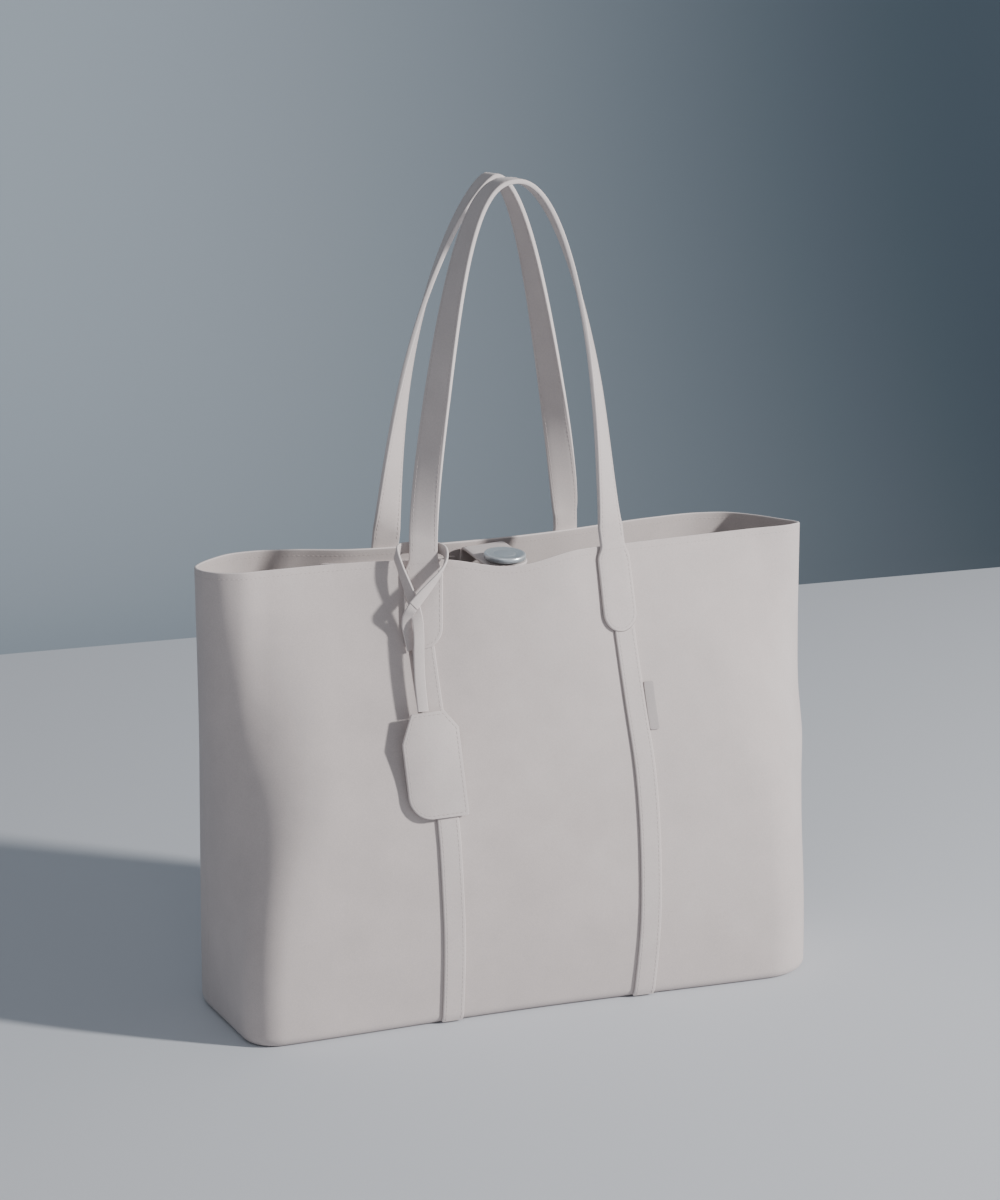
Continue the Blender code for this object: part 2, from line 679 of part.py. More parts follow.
def ribbon(route, stations, width, thickness):
    """Rings of a flat strap along a route round the front left handle leg, and its middle line."""
    leg = FRONT_HANDLE_SHIFT - HANDLE_SPREAD / 2
    rows = np.array(route, dtype=float)
    rim = on_wall(FRONT, leg, RIM_RUN, 0.0)
    rise = rim - on_wall(FRONT, leg, RIM_RUN - 10 * MM, 0.0)
    rise = rise / rise[2]
    spots = []
    for across, out, up in rows[:, :3] * TAG_STRAP_WIDTH:
        spot = on_wall(FRONT, leg + across, RIM_RUN + min(up, 0.0), GAP + out)
        spots.append(spot + rise * max(up, 0.0))
    spots = np.array(spots)
    run = np.concatenate(([0.0], np.cumsum(np.linalg.norm(np.diff(spots, axis=0), axis=1))))
    even = np.linspace(0.0, run[-1], stations)
    path = smooth_curve(run, spots, even)
    turns = np.radians(smooth_curve(run, rows[:, 3], even))
    rings = []
    for centre, tangent, turn in zip(path, np.gradient(path, axis=0), turns):
        tangent = unit(tangent)
        facing = np.array([math.sin(turn), -math.cos(turn), 0.0])
        normal = unit(facing - tangent * facing.dot(tangent))
        side = np.cross(tangent, normal) * width / 2
        lift = normal * thickness / 2
        rings.append([centre - side + lift, centre + side + lift, centre + side - lift,
                      centre - side - lift])
    return rings, path


def tag_strap(look):
    """The strap that loops round the handle leg, with one run to the tag and a free tail."""
    rings, path = ribbon(TAG_STRAP_ROUTE, 56, TAG_STRAP_WIDTH, TAG_STRAP_THICKNESS)
    loop = closed_rings("tag_strap", rings, look)
    tail_width = TAG_STRAP_WIDTH * 0.95
    tail_rings, _ = ribbon(TAG_TAIL_ROUTE, 14, tail_width, TAG_STRAP_THICKNESS * 0.9)
    tail = closed_rings("tag_tail", tail_rings, look)
    tail.hide_render = True
    tail.display_type = "WIRE"
    joined = loop.modifiers.new("tail", "BOOLEAN")
    joined.operation = "UNION"
    joined.object = tail
    return loop, path


def tag_outline():
    """The tag's outline from its top middle: x to the right and y down, with two cut shoulders."""
    half = TAG_WIDTH / 2
    top = TAG_TOP / 2
    points = [(-top, 0.0), (top, 0.0), (half, TAG_RIGHT_SHOULDER), (half, TAG_LENGTH)]
    for step in range(7):
        turn = math.radians(90 * step / 6)
        points.append((-half + TAG_ROUND * (1 - math.sin(turn)),
                       TAG_LENGTH - TAG_ROUND * (1 - math.cos(turn))))
    points.append((-half, TAG_LEFT_SHOULDER))
    return points


def tag(look, strap_end):
    """A flat plate that hangs from its strap and rests against the front wall's strip."""
    strip_face = GAP + STRIP_THICKNESS
    top = strap_end + np.array([TAG_SIDE, 0.0, 0.0])
    seat = strip_face + GAP + TAG_STANDOFF + TAG_THICKNESS / 2
    low = on_wall(FRONT, top[0] + TAG_SWING, run_at(top[2] - TAG_LENGTH), seat)
    down = unit(low - top)
    across = unit(np.cross(np.cross(down, np.array([1.0, 0.0, 0.0])), down))
    normal = unit(np.cross(across, down)) * -1
    if normal[1] > 0:
        normal = -normal
    origin = top + down * TAG_GAP - normal * TAG_THICKNESS / 2
    count = len(tag_outline())
    vertices = []
    for layer in (0.0, TAG_THICKNESS):
        for x, y in tag_outline():
            vertices.append(origin + across * x + down * y + normal * layer)
    faces = [tuple(range(count)), tuple(count + spot for spot in range(count))]
    for spot in range(count):
        following = (spot + 1) % count
        faces.append((spot, following, count + following, count + spot))
    return add_object("tag", vertices, faces, look)


def main():
    for old in list(bpy.data.objects):
        bpy.data.objects.remove(old, do_unlink=True)
    suede = material("suede", (0.53, 0.47, 0.455), 0.92)
    strap_suede = material("strap_suede", (0.56, 0.50, 0.485), 0.88)
    metal = material("button_metal", (0.60, 0.66, 0.70), 0.35, 0.6)

    panel("front_panel", FRONT, suede)
    panel("back_panel", BACK, suede)
    base_panel(suede)
    handle("front_handle", FRONT, (FRONT_APEX_X, FRONT_APEX_Y), strap_suede)
    handle("back_handle", BACK, (BACK_APEX_X, BACK_APEX_Y), strap_suede)
    sides = (("left", -1), ("right", 1))
    for side_name, side in sides:
        strip("front_strip_" + side_name, FRONT, side, strap_suede)
        strip("back_strip_" + side_name, BACK, side, strap_suede)
    closure(strap_suede, metal)
    loop, path = tag_strap(strap_suede)
    tag(strap_suede, path[0])

    label_top = BAG_HEIGHT - LABEL_DROP
    beside = max(strip_x(FRONT, 1, height) for height in (label_top, label_top - LABEL_LENGTH))
    label_left = beside + STRIP_WIDTH / 2 + GAP
    label_run = run_at(label_top)
    patch("label_tab", FRONT, (label_left, label_left + LABEL_WIDTH, label_run - LABEL_LENGTH, label_run),
          (GAP + LABEL_THICKNESS, GAP), 4, strap_suede)
    pocket_run = RIM_RUN - POCKET_DROP
    patch("inner_pocket", BACK, (POCKET_LEFT, POCKET_RIGHT, pocket_run - POCKET_DEPTH, pocket_run),
          (-WALL - GAP, -WALL - GAP - POCKET_THICKNESS), 9, suede)


main()
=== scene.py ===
"""Looks of the suede tote bag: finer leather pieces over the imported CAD, stitches, light and camera.

Units are metres, +Z is up and the front looks along -Y, as in the CAD.
"""
import math

import bmesh
import bpy
import numpy as np
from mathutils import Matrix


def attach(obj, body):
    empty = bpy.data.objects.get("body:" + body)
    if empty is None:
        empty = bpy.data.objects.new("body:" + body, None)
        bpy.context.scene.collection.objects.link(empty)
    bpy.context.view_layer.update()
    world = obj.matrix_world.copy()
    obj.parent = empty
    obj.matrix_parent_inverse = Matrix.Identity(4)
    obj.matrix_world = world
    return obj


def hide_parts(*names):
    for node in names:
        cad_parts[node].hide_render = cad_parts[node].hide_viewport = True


MM = 0.001

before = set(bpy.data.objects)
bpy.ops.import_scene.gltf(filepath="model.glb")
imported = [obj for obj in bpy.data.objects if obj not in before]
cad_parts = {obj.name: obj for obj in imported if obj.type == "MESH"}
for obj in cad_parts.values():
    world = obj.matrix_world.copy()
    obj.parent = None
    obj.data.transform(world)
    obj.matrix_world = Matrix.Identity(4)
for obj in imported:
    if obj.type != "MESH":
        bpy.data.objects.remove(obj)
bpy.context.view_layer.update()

# Body
BAG_HEIGHT = 320 * MM
BASE_LEFT = 222 * MM
BASE_RIGHT = 220 * MM
BASE_FRONT = 87 * MM
BASE_BACK = 86 * MM
FRONT_LEFT_CORNER = 24 * MM
FRONT_RIGHT_CORNER = 42 * MM
BACK_LEFT_CORNER = 72 * MM
BACK_RIGHT_CORNER = 52 * MM
FRONT_BOW = 6 * MM
MIDDLE_LEFT = 223 * MM
MIDDLE_RIGHT = 242 * MM
MIDDLE_FRONT = 71 * MM
MIDDLE_BACK = 78 * MM
MIDDLE_LEFT_ROUND = 70 * MM
MIDDLE_RIGHT_ROUND = 88 * MM
MOUTH_LEFT = 226 * MM
MOUTH_RIGHT = 244 * MM
MOUTH_FRONT = 33 * MM
MOUTH_BACK = 72 * MM
SEAM_Y = 8 * MM
FRONT_BELLY = 7 * MM
BACK_BELLY = 6 * MM
RIM_DIP = 7.5 * MM
RIM_DIP_CENTRE = -5 * MM
RIM_DIP_REACH = 56 * MM
RIM_DIP_START = 0.78
BELLY_MARGIN = 0.14
BELLY_SLANT = 0.35

# Leather
WALL = 2 * MM
HEM_RADIUS = 7 * MM
HEM_BEND = HEM_RADIUS * math.pi / 2
HEM_FLANGE = 8 * MM
BASE_THICKNESS = 2.4 * MM
GAP = 0.35 * MM

# Handles
HANDLE_SPREAD = 148 * MM
FRONT_HANDLE_SHIFT = 1 * MM
BACK_HANDLE_SHIFT = -2 * MM
HANDLE_DROP = 261 * MM
FRONT_APEX_X = 3 * MM
BACK_APEX_X = 8 * MM
FRONT_APEX_Y = -12 * MM
BACK_APEX_Y = 39 * MM
STRAP_WIDTH = 20 * MM
STRAP_THICKNESS = 3.4 * MM
PADDLE_WIDTH = 27 * MM
PADDLE_LENGTH = 60 * MM
PADDLE_THICKNESS = 2.4 * MM
PADDLE_SHOULDER = 10 * MM
TWIST_START = 0.05
TWIST_POWER = 0.6
WALL_BLEND = 0.4

# Strips, closure, tag, label and pocket
STRIP_WIDTH = 16 * MM
STRIP_THICKNESS = 1.8 * MM
STRIP_LEAN = 5 * MM
STRIP_END = math.radians(52)
TAB_WIDTH = 32 * MM
TAB_THICKNESS = 2.4 * MM
TAB_CENTRE = -3 * MM
TAB_SEWN = 28 * MM
TAB_DROP = 8 * MM
TAB_REACH = 54 * MM
TAB_BEND = 7 * MM
TAB_SLOPE = math.radians(7)
BUTTON_DIAMETER = 30 * MM
BUTTON_HEIGHT = 4 * MM
BUTTON_RING = 16 * MM
TAG_WIDTH = 43 * MM
TAG_LENGTH = 74 * MM
TAG_THICKNESS = 2.6 * MM
TAG_TOP = 24.7 * MM
TAG_LEFT_SHOULDER = 20 * MM
TAG_RIGHT_SHOULDER = 12.5 * MM
TAG_ROUND = 17 * MM
TAG_SIDE = 3.3 * MM
TAG_SWING = 2 * MM
TAG_STANDOFF = 0.5 * MM
TAG_GAP = 0.8 * MM
TAG_STRAP_WIDTH = 8 * MM
TAG_STRAP_THICKNESS = 1.8 * MM
LABEL_WIDTH = 8 * MM
LABEL_LENGTH = 33 * MM
LABEL_DROP = 96 * MM
LABEL_THICKNESS = 1.0 * MM
POCKET_LEFT = -121 * MM
POCKET_RIGHT = -22 * MM
POCKET_DROP = 10 * MM
POCKET_DEPTH = 130 * MM
POCKET_THICKNESS = 1.4 * MM

# Fineness and stitches
OUTLINE_POINTS = 361
PANEL_COLUMNS = 200
PANEL_ROWS = 110
STITCH_PITCH = 3.4 * MM
STITCH_LENGTH = 2.7 * MM
STITCH_RADIUS = 0.36 * MM
EDGE_INSET = 2.2 * MM
RIM_INSET = 4.6 * MM
EDGE_ROUND = 0.9 * MM
EDGE_STEPS = 3
SEWN_STATIONS = 8
BEND_STATIONS = 18
RISE_REACH = 10 * MM

# Camera: place in metres, lens in mm, and angles in degrees
CAMERA_PLACE = (-0.893, -2.090, 0.750)
CAMERA_LENS = 97.2
CAMERA_DOWN = 11.65
CAMERA_TURN = -23.1

FRONT = -1
BACK = 1

FRONT_MOUTH = (
    # along, depth
    (0.000, 0.00), (0.003, 0.20), (0.017, 0.44), (0.049, 0.62), (0.098, 0.57), (0.209, 0.49),
    (0.270, 0.56), (0.328, 0.71), (0.396, 0.90), (0.481, 1.00), (0.562, 0.95), (0.621, 0.79),
    (0.713, 0.61), (0.806, 0.44), (0.900, 0.29), (0.985, 0.17), (0.997, 0.09), (1.000, 0.00),
)
BACK_MOUTH = (
    # along, depth
    (0.000, 0.00), (0.003, 0.13), (0.017, 0.30), (0.043, 0.50), (0.085, 0.72), (0.130, 0.77),
    (0.179, 0.70), (0.264, 0.45), (0.315, 0.40), (0.438, 0.41), (0.534, 0.47), (0.632, 0.61),
    (0.700, 0.75), (0.800, 0.94), (0.894, 1.00), (0.932, 0.91), (0.966, 0.60), (0.988, 0.24),
    (0.997, 0.09), (1.000, 0.00),
)
LOFT = (
    # height, base, middle, mouth, belly
    (0.00, 1.00, 0.00, 0.00, 0.00),
    (0.08, 1.00, 0.00, 0.00, 0.50),
    (0.20, 0.90, 0.10, 0.00, 1.05),
    (0.32, 0.62, 0.38, 0.00, 1.05),
    (0.42, 0.32, 0.68, 0.00, 0.75),
    (0.52, 0.06, 0.90, 0.04, 0.25),
    (0.64, 0.00, 0.70, 0.30, 0.08),
    (0.82, 0.00, 0.35, 0.65, 0.00),
    (1.00, 0.00, 0.00, 1.00, 0.00),
)
TAG_STRAP_ROUTE = (
    # across, out, up, turn
    (-1.45, 1.20, -12.80, 0),
    (-1.38, 1.22, -10.40, 0),
    (-1.20, 1.25, -8.20, 0),
    (-0.98, 1.28, -6.60, 0),
    (-0.90, 1.28, -5.40, -8),
    (-1.00, 1.26, -4.10, -30),
    (-1.35, 1.20, -2.40, -60),
    (-1.70, 1.00, -0.80, -80),
    (-1.80, 0.45, 0.60, -92),
    (-1.30, -0.22, 1.00, -140),
    (0.40, -0.50, 1.05, -180),
    (1.90, -0.50, 1.00, -225),
    (2.38, 0.40, 0.55, -266),
    (2.12, 1.12, -0.50, -275),
    (1.50, 1.52, -1.40, -288),
    (0.50, 1.76, -2.40, -315),
    (-0.50, 1.88, -3.35, -342),
    (-1.20, 1.90, -4.05, -358),
)
TAG_TAIL_ROUTE = (
    # across, out, up, turn
    (-1.05, 1.87, -3.90, -356),
    (-1.45, 1.72, -4.40, -360),
    (-1.72, 1.30, -4.85, -360),
    (-1.80, 0.85, -5.45, -360),
    (-1.70, 0.65, -6.40, -360),
    (-1.55, 0.62, -7.60, -360),
)
LEGS = {
    # wall, side: rise, bulge, lean
    (FRONT, -1): (1.00, 2.60, 0.36),
    (FRONT, 1): (1.65, 2.10, 0.00),
    (BACK, -1): (1.75, 1.38, 0.00),
    (BACK, 1): (1.00, 2.00, 0.00),
}


def shares(table, column):
    return np.array([row[column] for row in table], dtype=float)


def smooth_curve(keys, values, at):
    """Cubic curve through the values, with slopes taken from each point's neighbours."""
    keys = np.asarray(keys, dtype=float)
    values = np.asarray(values, dtype=float)
    slopes = np.gradient(values, keys, axis=0)
    at = np.clip(np.asarray(at, dtype=float), keys[0], keys[-1])
    index = np.clip(np.searchsorted(keys, at, side="right") - 1, 0, len(keys) - 2)
    span = keys[index + 1] - keys[index]
    t = (at - keys[index]) / span
    if values.ndim > 1:
        span = np.reshape(span, np.shape(span) + (1,))
        t = np.reshape(t, np.shape(t) + (1,))
    near = (2 * t ** 3 - 3 * t ** 2 + 1) * values[index]
    near = near + (t ** 3 - 2 * t ** 2 + t) * span * slopes[index]
    far = (3 * t ** 2 - 2 * t ** 3) * values[index + 1]
    return near + far + (t ** 3 - t ** 2) * span * slopes[index + 1]


def resample(points, count):
    """The same path with its points evenly spaced along its length."""
    points = np.asarray(points, dtype=float)
    steps = np.linalg.norm(np.diff(points[:, :3], axis=0), axis=1)
    run = np.concatenate(([0.0], np.cumsum(steps)))
    even = np.linspace(0.0, run[-1], count)
    return np.stack([np.interp(even, run, points[:, axis]) for axis in range(points.shape[1])], axis=1)


def quarter(centre, reach, angles, count=24):
    """A quarter turn of an ellipse between two angles in degrees."""
    turn = np.radians(np.linspace(angles[0], angles[1], count))
    return np.stack([centre[0] + reach[0] * np.cos(turn), centre[1] + reach[1] * np.sin(turn)], axis=1)


def base_outline(half):
    depth = BASE_FRONT if half == FRONT else BASE_BACK
    left = FRONT_LEFT_CORNER if half == FRONT else BACK_LEFT_CORNER
    right = FRONT_RIGHT_CORNER if half == FRONT else BACK_RIGHT_CORNER
    bow = FRONT_BOW if half == FRONT else 0.0
    edge = half * depth
    first = quarter((left - BASE_LEFT, edge - half * left), (left, half * left), (180, 90))
    last = quarter((BASE_RIGHT - right, edge - half * right), (right, half * right), (90, 0))
    across = np.linspace(first[-1][0], last[0][0], 60)[1:-1]
    share = (across - first[-1][0]) / (last[0][0] - first[-1][0])
    straight = np.stack([across, edge - half * bow * np.sin(np.pi * share) ** 1.5], axis=1)
    left_end = [[-BASE_LEFT, SEAM_Y]]
    right_end = [[BASE_RIGHT, SEAM_Y]]
    return resample(np.concatenate((left_end, first, straight, last, right_end)), OUTLINE_POINTS)


def middle_outline(half):
    depth = half * (MIDDLE_FRONT if half == FRONT else MIDDLE_BACK)
    reach = depth - SEAM_Y
    left = quarter((MIDDLE_LEFT_ROUND - MIDDLE_LEFT, SEAM_Y), (MIDDLE_LEFT_ROUND, reach), (180, 90))
    right = quarter((MIDDLE_RIGHT - MIDDLE_RIGHT_ROUND, SEAM_Y), (MIDDLE_RIGHT_ROUND, reach), (90, 0))
    return resample(np.concatenate((left, right)), OUTLINE_POINTS)


def mouth_outline(half):
    table = FRONT_MOUTH if half == FRONT else BACK_MOUTH
    depth = -MOUTH_FRONT if half == FRONT else MOUTH_BACK
    x = -MOUTH_LEFT + (MOUTH_LEFT + MOUTH_RIGHT) * shares(table, 0)
    y = SEAM_Y + (depth - SEAM_Y) * shares(table, 1)
    corners = np.stack([x, y], axis=1)
    run = np.concatenate(([0.0], np.cumsum(np.linalg.norm(np.diff(corners, axis=0), axis=1))))
    fine = np.linspace(0.0, run[-1], 4 * OUTLINE_POINTS)
    return resample(smooth_curve(run, corners, fine), OUTLINE_POINTS)


OUTLINES = {half: (base_outline(half), middle_outline(half), mouth_outline(half)) for half in (FRONT, BACK)}
ALONG = np.linspace(0.0, 1.0, OUTLINE_POINTS)
LOFT_KEYS = shares(LOFT, 0)
LOFT_VALUES = np.array([row[1:] for row in LOFT], dtype=float)


def profile(run):
    """Height and inset at a run up the wall. The run starts where the hem meets the floor."""
    if run < 0:
        return 0.0, HEM_RADIUS - run
    if run < HEM_BEND:
        turn = run / HEM_RADIUS
        return HEM_RADIUS * (1 - math.cos(turn)), HEM_RADIUS * (1 - math.sin(turn))
    return HEM_RADIUS + run - HEM_BEND, 0.0


RIM_RUN = BAG_HEIGHT - HEM_RADIUS + HEM_BEND


def section(half, run):
    """Dense points of the outer face at a run up the wall, as rows of x, y and z."""
    height, inset = profile(run)
    base, middle, mouth, belly = smooth_curve(LOFT_KEYS, LOFT_VALUES, height / BAG_HEIGHT)
    outlines = OUTLINES[half]
    points = base * outlines[0] + middle * outlines[1] + mouth * outlines[2]
    swell = FRONT_BELLY if half == FRONT else BACK_BELLY
    fade = np.clip((ALONG - BELLY_MARGIN) / (1 - 2 * BELLY_MARGIN), 0.0, 1.0)
    uneven = 1.0 + BELLY_SLANT * points[:, 0] / BASE_RIGHT
    points[:, 1] += half * swell * belly * np.sin(np.pi * fade) ** 2 * uneven
    if inset > 0:
        tangent = np.gradient(points, axis=0)
        tangent[0] = tangent[-1] = (0.0, 1.0)
        tangent[0] *= half
        tangent[-1] *= -half
        tangent /= np.linalg.norm(tangent, axis=1)[:, None]
        points = points + half * inset * np.stack([tangent[:, 1], -tangent[:, 0]], axis=1)
    z = np.full(len(points), height)
    if half == FRONT:
        near_rim = np.clip((height / BAG_HEIGHT - RIM_DIP_START) / (1 - RIM_DIP_START), 0.0, 1.0)
        reach = np.clip(np.abs(points[:, 0] - RIM_DIP_CENTRE) / RIM_DIP_REACH, 0.0, 1.0)
        z -= RIM_DIP * near_rim ** 2 * (3 - 2 * near_rim) * 0.5 * (1 + np.cos(np.pi * reach))
    return np.column_stack([points, z])


def unit(vector):
    vector = np.asarray(vector, dtype=float)
    return vector / np.linalg.norm(vector)


def normals_of(grid, half):
    """Outward normals of a grid of wall points, with rows going up and columns from left to right."""
    up = np.gradient(grid, axis=0)
    sideways = np.gradient(grid, axis=1)
    sideways[:, 0, 0] = sideways[:, -1, 0] = 0.0
    normal = np.cross(sideways, up) * -half
    return normal / np.maximum(np.linalg.norm(normal, axis=2), 1e-12)[:, :, None]


# A regular map of the middle 300 mm of each wall, so that pieces can be laid on it quickly
MAP_RUNS = np.linspace(-HEM_FLANGE, RIM_RUN, 240)
MAP_X = np.linspace(-150 * MM, 150 * MM, 241)
MAPS = {}
for wall in (FRONT, BACK):
    rows = []
    for run_up in MAP_RUNS:
        dense = section(wall, run_up)
        inner = dense[OUTLINE_POINTS // 12:-(OUTLINE_POINTS // 12)]
        rows.append(np.stack([np.interp(MAP_X, inner[:, 0], inner[:, axis]) for axis in range(3)], axis=1))
    places = np.array(rows)
    MAPS[wall] = (places, normals_of(places, wall))


def lay(half, x, run, out):
    """Points on a wall at each x and run, moved out from the outer face along its normal."""
    x, run, out = np.broadcast_arrays(np.asarray(x, float), np.asarray(run, float), np.asarray(out, float))
    column = np.clip((x - MAP_X[0]) / (MAP_X[1] - MAP_X[0]), 0, len(MAP_X) - 1.001)
    row = np.clip((run - MAP_RUNS[0]) / (MAP_RUNS[1] - MAP_RUNS[0]), 0, len(MAP_RUNS) - 1.001)
    c, r = column.astype(int), row.astype(int)
    u, v = (column - c)[..., None], (row - r)[..., None]
    spots = []
    for table in MAPS[half]:
        low = table[r, c] * (1 - u) + table[r, c + 1] * u
        high = table[r + 1, c] * (1 - u) + table[r + 1, c + 1] * u
        spots.append(low * (1 - v) + high * v)
    return spots[0] + out[..., None] * spots[1]


def new_object(name, vertices, faces, looks, face_looks=None, sharp=40):
    mesh = bpy.data.meshes.new(name)
    mesh.from_pydata(np.asarray(vertices, dtype=float).tolist(), [], faces)
    mesh.validate()
    for look in looks:
        mesh.materials.append(look)
    if face_looks is not None:
        mesh.polygons.foreach_set("material_index", np.asarray(face_looks, dtype=np.int32))
    mesh.shade_smooth()
    mesh.set_sharp_from_angle(angle=math.radians(sharp))
    made = bpy.data.objects.new(name, mesh)
    bpy.context.scene.collection.objects.link(made)
    return made


def place_piece(obj, slot, *nodes):
    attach(obj, "root")
    if nodes:
        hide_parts(*nodes)
    return obj


def rounded(width, thickness, across):
    """A rounded rectangle as rows of place across and height, first along the outer face."""
    radius = min(0.42 * thickness, EDGE_ROUND, 0.49 * width)
    left = radius - width / 2
    right = width / 2 - radius
    upper = thickness - radius
    turns = [math.pi / 2 * step / EDGE_STEPS for step in range(EDGE_STEPS + 1)]
    flat = np.linspace(left, right, across)
    ring = [(s, thickness) for s in flat]
    ring += [(right + radius * math.sin(turn), upper + radius * math.cos(turn)) for turn in turns[1:]]
    ring += [(right + radius * math.cos(turn), radius - radius * math.sin(turn)) for turn in turns[:-1]]
    ring += [(s, 0.0) for s in flat[::-1]]
    ring += [(left - radius * math.sin(turn), radius - radius * math.cos(turn)) for turn in turns[1:]]
    ring += [(left - radius * math.cos(turn), upper + radius * math.sin(turn)) for turn in turns[:-1]]
    return np.array(ring)


def edge_faces(across):
    """Which faces round a rounded rectangle belong to its two cut edges."""
    size = 2 * across + 4 * EDGE_STEPS
    marks = np.zeros(size, dtype=int)
    marks[across:across + 2 * EDGE_STEPS - 1] = 1
    marks[2 * across + 2 * EDGE_STEPS:size - 1] = 1
    return marks


def swept(name, rings, looks, marks=None, sharp=40):
    rings = np.asarray(rings, dtype=float)
    count, size = rings.shape[0], rings.shape[1]
    faces = []
    face_looks = []
    for ring in range(count - 1):
        for corner in range(size):
            following = (corner + 1) % size
            low, high = ring * size, (ring + 1) * size
            faces.append((low + corner, low + following, high + following, high + corner))
            face_looks.append(0 if marks is None else int(marks[corner]))
    faces.append(tuple(reversed(range(size))))
    last = (count - 1) * size
    faces.append(tuple(last + corner for corner in range(size)))
    face_looks += [0 if marks is None else 1] * 2
    return new_object(name, rings.reshape(-1, 3), faces, looks, face_looks, sharp)


def face_outward(obj):
    """Turns the faces of a closed piece outwards."""
    shape = bmesh.new()
    shape.from_mesh(obj.data)
    bmesh.ops.recalc_face_normals(shape, faces=shape.faces)
    shape.to_mesh(obj.data)
    shape.free()
    return obj


STITCH_SIDES = 6
STITCH_RINGS = ((-0.50, 0.30), (-0.36, 0.95), (0.36, 0.95), (0.50, 0.30))


def stitch_shape():
    spots, faces = [], []
    for along, share in STITCH_RINGS:
        for side in range(STITCH_SIDES):
            turn = 2 * math.pi * side / STITCH_SIDES
            spots.append((along * STITCH_LENGTH, share * STITCH_RADIUS * math.cos(turn),
                          share * STITCH_RADIUS * 0.8 * math.sin(turn)))
    for ring in range(len(STITCH_RINGS) - 1):
        for side in range(STITCH_SIDES):
            following = (side + 1) % STITCH_SIDES
            low, high = ring * STITCH_SIDES, (ring + 1) * STITCH_SIDES
            faces.append((low + side, high + side, high + following, low + following))
    faces.append(tuple(range(STITCH_SIDES)))
    last = (len(STITCH_RINGS) - 1) * STITCH_SIDES
    faces.append(tuple(last + side for side in reversed(range(STITCH_SIDES))))
    return np.array(spots), faces


def stitches(name, lines, look, slot, sink=0.10 * MM):
    """Short threads along lines, each given as points with the surface's outward normals."""
    shape, shape_faces = stitch_shape()
    vertices, faces = [], []
    for points, normals in lines:
        points = np.asarray(points, float)
        length = np.linalg.norm(np.diff(points, axis=0), axis=1).sum()
        count = max(int(round(length / STITCH_PITCH)), 1)
        both = resample(np.column_stack([points, normals]), 2 * count + 1)
        for index in range(1, 2 * count, 2):
            centre = both[index, :3]
            normal = unit(both[index, 3:])
            along = unit(both[index + 1, :3] - both[index - 1, :3])
            side = unit(np.cross(normal, along))
            along = unit(along + 0.10 * side)
            side = np.cross(normal, along)
            base = centre - normal * sink
            offset = len(vertices) * len(shape)
            vertices.append(base + shape[:, :1] * along + shape[:, 1:2] * side + shape[:, 2:] * normal)
            faces += [tuple(offset + spot for spot in face) for face in shape_faces]
    obj = new_object(name, np.concatenate(vertices), faces, [look], sharp=80)
    return place_piece(obj, slot)


# Materials

def leather(name, colour, rough, grain=0.035, patch=0.05, bump=0.10, sheen=0.20):
    """Napped leather: fine grain, faint broad patches and a soft bump, all in metres of the part."""
    made = bpy.data.materials.new(name)
    made.use_nodes = True
    nodes, links = made.node_tree.nodes, made.node_tree.links
    shader = nodes["Principled BSDF"]
    shader.inputs["Roughness"].default_value = rough
    shader.inputs["Sheen Weight"].default_value = sheen
    shader.inputs["Sheen Roughness"].default_value = 0.6
    shader.inputs["Specular IOR Level"].default_value = 0.25
    coordinates = nodes.new("ShaderNodeTexCoord")
    fine = nodes.new("ShaderNodeTexNoise")
    fine.inputs["Scale"].default_value = 1100.0
    fine.inputs["Detail"].default_value = 3.0
    fine.inputs["Roughness"].default_value = 0.65
    broad = nodes.new("ShaderNodeTexNoise")
    broad.inputs["Scale"].default_value = 26.0
    broad.inputs["Detail"].default_value = 5.0
    broad.inputs["Roughness"].default_value = 0.6
    for noise in (fine, broad):
        links.new(coordinates.outputs["Object"], noise.inputs["Vector"])
    fine_range = nodes.new("ShaderNodeMapRange")
    fine_range.inputs["From Min"].default_value = 0.28
    fine_range.inputs["From Max"].default_value = 0.72
    fine_range.inputs["To Min"].default_value = 1.0 - grain * 2
    fine_range.inputs["To Max"].default_value = 1.0 + grain * 2
    links.new(fine.outputs["Fac"], fine_range.inputs["Value"])
    broad_range = nodes.new("ShaderNodeMapRange")
    broad_range.inputs["From Min"].default_value = 0.3
    broad_range.inputs["From Max"].default_value = 0.7
    broad_range.inputs["To Min"].default_value = 1.0 - patch
    broad_range.inputs["To Max"].default_value = 1.0 + patch
    links.new(broad.outputs["Fac"], broad_range.inputs["Value"])
    both = nodes.new("ShaderNodeMath")
    both.operation = "MULTIPLY"
    links.new(fine_range.outputs["Result"], both.inputs[0])
    links.new(broad_range.outputs["Result"], both.inputs[1])
    tone = nodes.new("ShaderNodeVectorMath")
    tone.operation = "SCALE"
    tone.inputs[0].default_value = colour
    links.new(both.outputs["Value"], tone.inputs["Scale"])
    links.new(tone.outputs["Vector"], shader.inputs["Base Color"])
    relief = nodes.new("ShaderNodeBump")
    relief.inputs["Strength"].default_value = bump
    relief.inputs["Distance"].default_value = 0.4 * MM
    links.new(fine.outputs["Fac"], relief.inputs["Height"])
    links.new(relief.outputs["Normal"], shader.inputs["Normal"])
    made.diffuse_color = (*colour, 1.0)
    return made


def plain(name, colour, rough, metallic=0.0):
    made = bpy.data.materials.new(name)
    made.use_nodes = True
    shader = made.node_tree.nodes["Principled BSDF"]
    shader.inputs["Base Color"].default_value = (*colour, 1.0)
    shader.inputs["Roughness"].default_value = rough
    shader.inputs["Metallic"].default_value = metallic
    made.diffuse_color = (*colour, 1.0)
    return made


